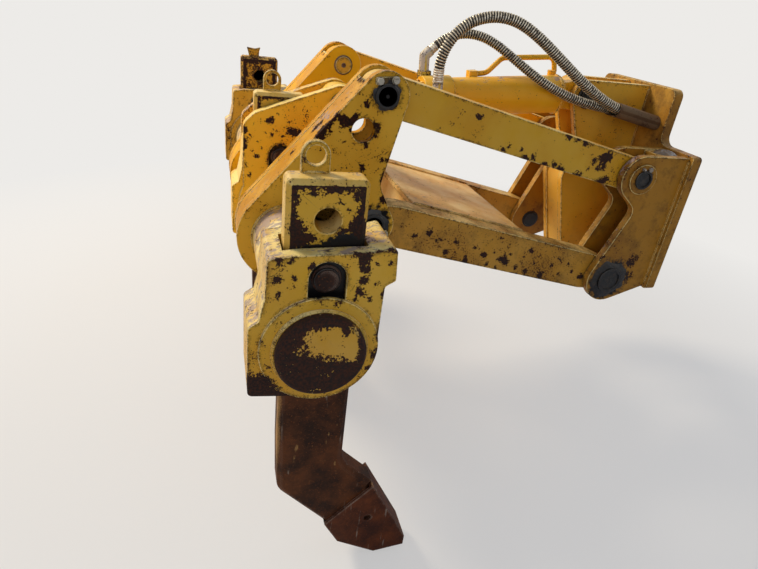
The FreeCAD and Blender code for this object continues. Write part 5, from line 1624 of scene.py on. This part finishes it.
@dataclass
class Shanks:
    """Shanks, tips and lifting eyes.

    Attributes:
        paint_line: height at which the paint ends.
        head: middle of a shank's head face in the row frame, (x, z).
        head_half: half its width and height inside the chamfers.
        eye_behind: tube's axis back to a lifting eye's middle.
        eye_side: shank's middle to the eye's middle.
    """

    spacing: float = 0.950
    paint_line: float = -0.10
    head: tuple[float, float] = (-1.5066, 0.250)
    head_half: tuple[float, float] = (0.077, 0.097)
    top: float = 0.3589
    eye_behind: float = 0.017
    eye_side: float = 0.017
    eye_half: float = 0.031
    eye_plate: float = 0.016

    def build(self, dresser: Dresser) -> None:
        """Dresses shanks, tips and lifting eyes."""
        steel = RustedSteel("rusted_shank", marks=self.polished())
        frame_band = Frame(self.head, self.head_half)
        near_marks = rust_marks(-0.988, (
            (-1.436, 0.258, 0.020), (-1.441, 0.236, 0.016), (-1.436, 0.300, 0.007), (-1.563, 0.252, 0.018),
            (-1.560, 0.226, 0.018), (-1.540, 0.236, 0.008), (-1.477, 0.312, 0.006), (-1.462, 0.300, 0.006),
            (-1.470, 0.246, 0.008), (-1.540, 0.330, 0.007), (-1.488, 0.222, 0.008), (-1.448, 0.322, 0.007),
        )) + (
            # black bands, drawn as grease, just above the pocket lip: painted shadow of the gap into the pocket
            Mark(Stain.GREASE, (-1.450, -0.988, 0.224), 0.015, 1.0, (0.30, 1.0, 1.0)),
            Mark(Stain.GREASE, (-1.530, -0.988, 0.212), 0.010, 1.0, (0.25, 1.0, 1.0)),
            Mark(Stain.PALE, (-1.482, -0.965, 0.260), 0.015, 1.0),
        )
        for side, chips, marks in (("right", 0.02, near_marks), ("centre", 0.03, ()), ("left", 0.15, ())):
            head = Enamel(f"shank_enamel_{side}", chips=chips, specks=0.05, edge_chips=0.22, dusty=0.25,
                          rounded=0.0, frame=frame_band, marks=marks)
            finish = PaintedShank(f"shank_{side}_finish", steel, head, self.paint_line).material()
            dresser.dress(f"shank_{side}", finish, 2.5 * MM)
        tip = RustedSteel("rusted_tip", dark="#3A1D11", brown="#663317", orange="#85461F", scratches=0.9,
                          marks=(
                              Mark(Stain.PALE, (-1.319, -0.985, -0.539), 0.008, 0.6, (1.0, 0.5, 0.3)),
                              Mark(Stain.PALE, (-1.296, -0.990, -0.650), 0.006, 0.5, (1.0, 0.5, 0.3)),
                          ))
        dresser.dress("ripper_tips", tip.material(), 3 * MM)
        eye = Enamel("eye_enamel", chips=0.03, specks=0.06, edge_chips=0.3)
        dresser.dress("lifting_eyes", eye.material(), 2 * MM)
        self.eye_welds(replace(eye, name="eye_weld_enamel", rounded=0.0).material())

    @staticmethod
    def polished() -> tuple[Mark, ...]:
        """Ridges and strokes of the near shank, from (x, z, radius, reach along x, along z, strength) of each, and a
        pale rear edge that is partly a painted highlight.
        """
        strokes = (
            (-1.545, -0.363, 0.006, 1.0, 2.0, 0.50), (-1.549, -0.395, 0.006, 1.0, 3.0, 0.34),
            (-1.552, -0.435, 0.006, 1.0, 4.0, 0.26), (-1.556, -0.478, 0.005, 1.0, 4.0, 0.22),
            (-1.515, -0.416, 0.0024, 9.0, 1.0, 0.24), (-1.470, -0.422, 0.0026, 9.0, 1.0, 0.34),
            (-1.438, -0.436, 0.004, 1.0, 3.0, 0.50), (-1.432, -0.468, 0.004, 1.0, 4.0, 0.32),
            (-1.418, -0.506, 0.004, 2.0, 3.0, 0.26), (-1.462, -0.328, 0.003, 1.0, 4.0, 0.44),
            (-1.467, -0.354, 0.003, 1.0, 4.0, 0.44), (-1.503, -0.365, 0.003, 1.0, 2.0, 0.34),
            (-1.442, -0.298, 0.003, 1.0, 2.0, 0.40), (-1.503, -0.492, 0.003, 1.6, 1.0, 0.40),
            (-1.473, -0.513, 0.003, 8.0, 1.0, 0.22), (-1.447, -0.545, 0.003, 8.0, 1.0, 0.20),
        )
        side = (
            Mark(Stain.PALE, (x, -0.988, z), 1.2 * radius, strength + 0.12, (1 / wide, 1.0, 1 / high))
            for x, z, radius, wide, high, strength in strokes
        )
        # the rear edge, painted pale: steel polished by the soil and a painted highlight together
        rear = (
            Mark(Stain.PALE, (-1.600, -0.976, z), 0.020, 0.62, (1.2, 0.4, 0.22)) for z in (-0.14, -0.27, -0.40)
        )
        return (*side, *rear)

    def eye_welds(self, finish: bpy.types.Material) -> None:
        """Beads on both faces of each eye's foot."""
        bead, shells = WeldBead(radius=5 * MM), []
        middle = LINKAGE.tube[0] - self.eye_behind
        for number, (_, station) in enumerate(STATIONS):
            y = self.spacing * station + (-1 if station > 0 else 1) * self.eye_side
            for way in (-1, 1):
                side = y + way * self.eye_plate / 2
                run = [(middle - self.eye_half * 0.85, side, self.top), (middle + self.eye_half * 0.85, side, self.top)]
                shells.append(bead.line(run, seed=number * 2 + way + 3))
        make_piece("eye_welds", "beam", finish, shells)


@dataclass
class LowerFrame:
    """Box arms and deck of the lower frame.

    Attributes:
        half_depth: half the depth of an arm.
        deck_front: bracket's pins back to the deck.
        deck_rear: bracket's pins back to the deck's rear edge.
    """

    half_depth: float = 0.075
    deck_front: float = 0.388
    deck_rear: float = 0.869

    def build(self, dresser: Dresser) -> None:
        """Dresses arms and deck and adds their welds."""
        outer = -LINKAGE.station - LINKAGE.eye_width / 2
        marks = rust_marks(outer, (
            (-0.700, -0.125, 0.015), (-0.684, -0.142, 0.012), (-0.631, -0.164, 0.010), (-0.655, -0.196, 0.013),
            (-0.580, -0.097, 0.008), (-0.516, -0.201, 0.013), (-0.401, -0.154, 0.008), (-0.780, -0.110, 0.010),
            (-0.900, -0.060, 0.009), (-1.010, -0.020, 0.012), (-0.850, -0.130, 0.012), (-0.331, -0.213, 0.014),
            (-0.610, -0.120, 0.006), (-0.560, -0.150, 0.006), (-0.540, -0.120, 0.005), (-0.480, -0.160, 0.006),
            (-0.450, -0.130, 0.005), (-0.720, -0.160, 0.008), (-0.740, -0.100, 0.006), (-0.820, -0.080, 0.007),
            (-0.670, -0.110, 0.006), (-0.590, -0.180, 0.008), (-0.440, -0.195, 0.008), (-0.380, -0.190, 0.008),
            (-0.940, -0.100, 0.010), (-0.970, -0.050, 0.007), (-1.060, -0.030, 0.008), (-0.760, -0.150, 0.007),
        ))
        arm = Enamel("arm_enamel", coat="#C48A22", deep="#9A6414", dust="#5E4424", chips=0.04, specks=0.10,
                     edge_chips=0.22, dusty=0.45, marks=marks).material()
        deck = Enamel("deck_enamel", coat="#EABB60", faded_and_lit_paint="#F8DC98", dust="#CFAD74", bare="#A48776",
                      chips=-0.04, specks=0.0, scuffs=0.2, dusty=0.3, rounded=0.0)
        for side, _ in SIDES:
            dresser.dress(f"frame_arm_{side}", arm, 4 * MM)
        finish = deck.material()
        dresser.dress("deck_plates", finish, 2 * MM)
        dresser.dress("deck_webs", finish, 0)
        bead, shells = WeldBead(), []
        for number, (_, sign) in enumerate(SIDES):
            y = sign * (LINKAGE.station - LINKAGE.eye_width / 2)
            run = [
                spot(LINKAGE.along_link(distance, self.half_depth, False), y)
                for distance in (self.deck_front, self.deck_rear)
            ]
            shells.append(bead.line(run, seed=21 + number))
        make_piece("deck_welds", "lower_frame", finish, shells)


@dataclass
class UpperLinks:
    """The two upper links."""

    def build(self, dresser: Dresser) -> None:
        """Dresses the links."""
        outer = -LINKAGE.station - LINKAGE.eye_width / 2
        marks = rust_marks(outer, (
            (-0.366, 0.276, 0.016), (-0.388, 0.264, 0.018), (-0.424, 0.257, 0.010), (-0.378, 0.236, 0.010),
            (-0.438, 0.228, 0.008), (-0.547, 0.340, 0.014), (-0.512, 0.331, 0.011), (-0.477, 0.322, 0.011),
            (-0.398, 0.232, 0.007), (-0.412, 0.276, 0.006), (-0.352, 0.256, 0.006),
            (-0.773, 0.300, 0.010), (-0.726, 0.288, 0.009), (-0.792, 0.283, 0.010), (-0.701, 0.262, 0.013),
            (-0.668, 0.264, 0.010), (-0.620, 0.238, 0.012), (-0.552, 0.222, 0.020), (-0.582, 0.243, 0.009),
            (-0.479, 0.208, 0.018), (-0.376, 0.182, 0.016), (-0.352, 0.188, 0.014), (-0.900, 0.388, 0.012),
        ))
        near = Enamel("near_link_enamel", chips=-0.03, specks=-0.03, edge_chips=0.26, dusty=0.12, marks=marks)
        # the far link takes a brighter, more orange coat than the near one: painted light, as of sunlight bounced from
        # nearby plates
        far = Enamel("far_link_lit_enamel", coat="#FBB618", faded_and_lit_paint="#F4BC3C", deep="#EEA00E", chips=-0.02,
                     specks=-0.02, edge_chips=0.26, dusty=0.0)
        for side, finish in (("right", near), ("left", far)):
            dresser.dress(f"upper_link_{side}", finish.material(), 3 * MM)


@dataclass
class Bracket:
    """Mounting plate, cheeks, lugs and hose guide.

    Attributes:
        plate: thickness of the mounting plate.
        cheek: heights between which the cheeks are welded.
        lug: heights between which the lugs are welded.
        lug_face: centre plane to the outside of a lug.
        collar: thickness of a collar.
        collar_radius: its outside; not used.
        head_pin: place of the cylinder's head pin.
    """

    plate: float = 0.040
    cheek: tuple[float, float] = (-0.232, 0.283)
    lug: tuple[float, float] = (-0.228, 0.488)
    lug_face: float = 0.077
    collar: float = 0.009
    collar_radius: float = 0.056
    head_pin: tuple[float, float] = (-0.315, 0.435)

    def build(self, dresser: Dresser) -> None:
        """Dresses the bracket and adds welds, pin caps, nipples, grease and mud."""
        face = -LINKAGE.station - LINKAGE.outer_face
        upper, lower = spot(LINKAGE.front_pin(True), face), spot(LINKAGE.front_pin(False), face)
        marks = (
            Mark(Stain.GREASE, tuple(lower), 0.082, 0.8),
            Mark(Stain.GREASE, tuple(upper + (0.02, 0, 0.02)), 0.040, 0.3),
            *rust_marks(face, (
                (-0.139, -0.130, 0.026), (-0.105, -0.085, 0.012), (-0.146, -0.200, 0.035), (-0.285, -0.110, 0.012),
            ), 0.38),
        )
        # darker, muddier paint on the bracket: dirt, and painted shade of the tractor's body over the cheeks
        enamel = Enamel("bracket_dirt_and_shade_enamel", coat="#AC7414", faded_and_lit_paint="#D8A84C", deep="#84540F", dust="#4C331A",
                        chips=-0.01, specks=0.03, dusty=0.5, edge_chips=0.2, worn_and_highlight_line=0.8, marks=marks)
        finish = enamel.material()
        for node in ("cheeks_right", "cheeks_left", "pin_collars"):
            dresser.dress(node, finish, 2 * MM)
        plain = replace(enamel, name="mounting_plate_enamel", rounded=0.0).material()
        dresser.dress("mount_plate", plain, 2 * MM)
        # the lugs and web take a brighter coat than the bracket: painted sunlight on the lug faces
        column = Enamel("column_lit_enamel", coat="#EFB02A", faded_and_lit_paint="#F6D070", deep="#D88E14", chips=-0.03,
                        dusty=0.2, corners=0.4).material()
        for node in ("cylinder_lugs", "column_web"):
            dresser.dress(node, column, 2 * MM)
        grease = Grease("bracket_grease", share=0.8).material()
        dresser.dress("bracket_pins", grease, 2 * MM)
        dresser.dress("head_pin", grease, 2 * MM)
        sleeve = Enamel("sleeve_paint", coat="#5A3D20", faded_and_lit_paint="#7E6346", deep="#42290F", rubbed_and_highlight="#8E7455",
                        dust="#7D6548", dusty=0.4, roughness=0.75, worn_and_highlight_line=0.4)
        dresser.dress("hose_guide", sleeve.material(), 1 * MM)
        dresser.dress("hose_ferrules", PlatedSteel("ferrule_zinc", dirty=0.6).material(), 0)
        self.welds(plain)
        self.pin_details(grease)

    def welds(self, finish: bpy.types.Material) -> None:
        """Upright beads where cheeks and lugs meet the mounting plate."""
        bead, shells, number = WeldBead(), [], 30
        faces = []
        for _, sign in SIDES:
            faces += [(LINKAGE.station * sign + LINKAGE.outer_face * way, self.cheek) for way in (-1, 1)]
            faces.append((self.lug_face * sign, self.lug))
        for y, (low, high) in faces:
            number += 1
            shells.append(bead.line([(-self.plate, y, low), (-self.plate, y, high)], seed=number))
        make_piece("bracket_welds", "bracket", finish, shells)

    def pin_details(self, grease: bpy.types.Material) -> None:
        """Pin caps, nipples, grease and the mud on the cheeks' caps."""
        caps, lumps, fittings, mud = [], [], [], []
        for number, (_, sign) in enumerate(SIDES):
            out = Y_AXIS * sign
            face = (LINKAGE.station + LINKAGE.outer_face) * sign
            upper = spot(LINKAGE.front_pin(True), face) + out * self.collar
            lower = spot(LINKAGE.front_pin(False), face)
            caps += PinCap(35 * MM, 6 * MM, 8 * MM, 5 * MM).shells(upper, out)
            caps += PinCap(52 * MM, 13 * MM, 12 * MM, 4 * MM).shells(lower, out)
            lumps.append(smear(lower, out, 78 * MM, 9 * MM, seed=14 + number))
            lean = math.radians(112)
            side = 43 * MM * np.array([math.cos(lean), 0, math.sin(lean)])
            fittings += GreaseNipple().shells(upper + side, out)
            fittings += Bolt(across=17 * MM, height=8 * MM, washer=0).shells(upper + side * 0.98 + X_AXIS * 0.03, out)
            hole = spot(LINKAGE.front_pin(False), (LINKAGE.station - LINKAGE.outer_face) * sign)
            caps.append(ring_band(hole, -out, 36 * MM, 6 * MM, 4 * MM))
            mud.append(smear(np.array([-0.088, LINKAGE.station * sign, 0.2865]), Z_AXIS, 44 * MM, 14 * MM,
                             seed=40 + number))
        for sign in (-1, 1):
            lug = spot(self.head_pin, self.lug_face * sign)
            caps.append(ring_band(lug, Y_AXIS * sign, 36 * MM, 9 * MM, 7 * MM))
        make_piece("bracket_pin_caps", "bracket", grease, caps)
        make_piece("bracket_grease", "bracket", grease, lumps)
        steel = PlatedSteel("nipple_steel", metal="#9C948A", dirty=0.45).material()
        make_piece("bracket_nipples", "bracket", steel, fittings)
        dry = Grease("dry_mud", black="#4E3E2E", dusty="#7C6850", share=1.0).material()
        make_piece("cheek_mud", "bracket", dry, mud)


@dataclass
class Cylinder:
    """Hydraulic cylinder with ports, oil line and rod.

    Distances are from the head pin along the cylinder's axis.
    """

    head: tuple[float, float] = (-0.315, 0.435)
    tilt: float = math.radians(5.41)
    mouth: float = 0.557
    gland_end: float = 0.668
    barrel_base: float = 0.095
    barrel_radius: float = 0.0715
    rod_radius: float = 0.035

    def along(self, distance: float) -> np.ndarray:
        """Point of the axis."""
        return spot(np.array(self.head) - distance * np.array([math.cos(self.tilt), math.sin(self.tilt)]), 0.0)

    @property
    def axis(self) -> np.ndarray:
        """Direction from the head pin to the rod."""
        return np.array([-math.cos(self.tilt), 0.0, -math.sin(self.tilt)])

    def build(self, dresser: Dresser) -> None:
        """Dresses the cylinder's nodes and adds seam, gland bolts and wiper."""
        # the cylinder's coat is brighter and more saturated than the beam's: fresher paint, and painted light as of
        # sunlight bounced from nearby plates
        paint = Enamel("cylinder_fresh_lit_enamel", coat="#FFBC1A", faded_and_lit_paint="#FACB52", deep="#F0A410", chips=-0.07,
                       specks=-0.03, edge_chips=0.2, roughness=0.36, gloss=0.3, dusty=0.0, corners=0.35,
                       rounded=0.0)
        finish = paint.material()
        for node in ("cylinder_barrel", "cylinder_gland", "rod_eye", "oil_line"):
            dresser.dress(node, finish, 0 if node == "oil_line" else 2 * MM)
        port = Enamel("port_enamel", coat="#EBD24A", faded_and_lit_paint="#F6E68C", rubbed_and_highlight="#DCD0BE", chips=0.05, specks=0.08,
                      edge_chips=0.25, marks=(
                          Mark(Stain.PALE, (-0.958, 0.030, 0.530), 0.034, 0.9),
                          Mark(Stain.PALE, (-0.956, -0.092, 0.440), 0.016, 0.9),
                      ))
        dresser.dress("cylinder_ports", port.material(), 1 * MM)
        chrome = PlatedSteel("chromed_rod", metal="#D6D4D0", dirt="#4A4036", roughness=0.14, dirty=0.1, grain=25)
        dresser.dress("piston_rod", chrome.material(), 0)
        dresser.dress("rod_pin_middle", chrome.material(), 0)
        seam = WeldBead(radius=5 * MM).ring(self.along(self.barrel_base + 0.012), self.barrel_radius - 0.001, self.axis, 51)
        bolts = []
        for turn in np.radians(np.arange(22.5, 360, 45)):
            side = math.cos(turn) * Y_AXIS + math.sin(turn) * np.cross(self.axis, Y_AXIS)
            bolts += Bolt(across=17 * MM, height=10 * MM, washer=0).shells(
                self.along(self.gland_end) + side * 0.060, self.axis)
        make_piece("barrel_seam", "cylinder_barrel", finish, [seam])
        make_piece("gland_bolts", "cylinder_barrel", finish, bolts)
        wiper = ring_band(self.along(self.gland_end), self.axis, self.rod_radius + 0.5 * MM, 8 * MM, 4 * MM)
        make_piece("rod_wiper", "cylinder_barrel", Rubber("wiper_rubber").material(), [wiper])


def main() -> None:
    """Builds the studio and dresses every sub-assembly."""
    logging.basicConfig(level=logging.INFO, format="%(name)s %(message)s")
    Studio().build()
    Hoses().build()
    dresser = Dresser(smoothing_group())
    for part in (ToolBeam(), Shanks(), LowerFrame(), UpperLinks(), Bracket(), Cylinder()):
        part.build(dresser)
        LOG.info("dressed: %s", type(part).__name__)


if __name__ == "__main__":
    main()
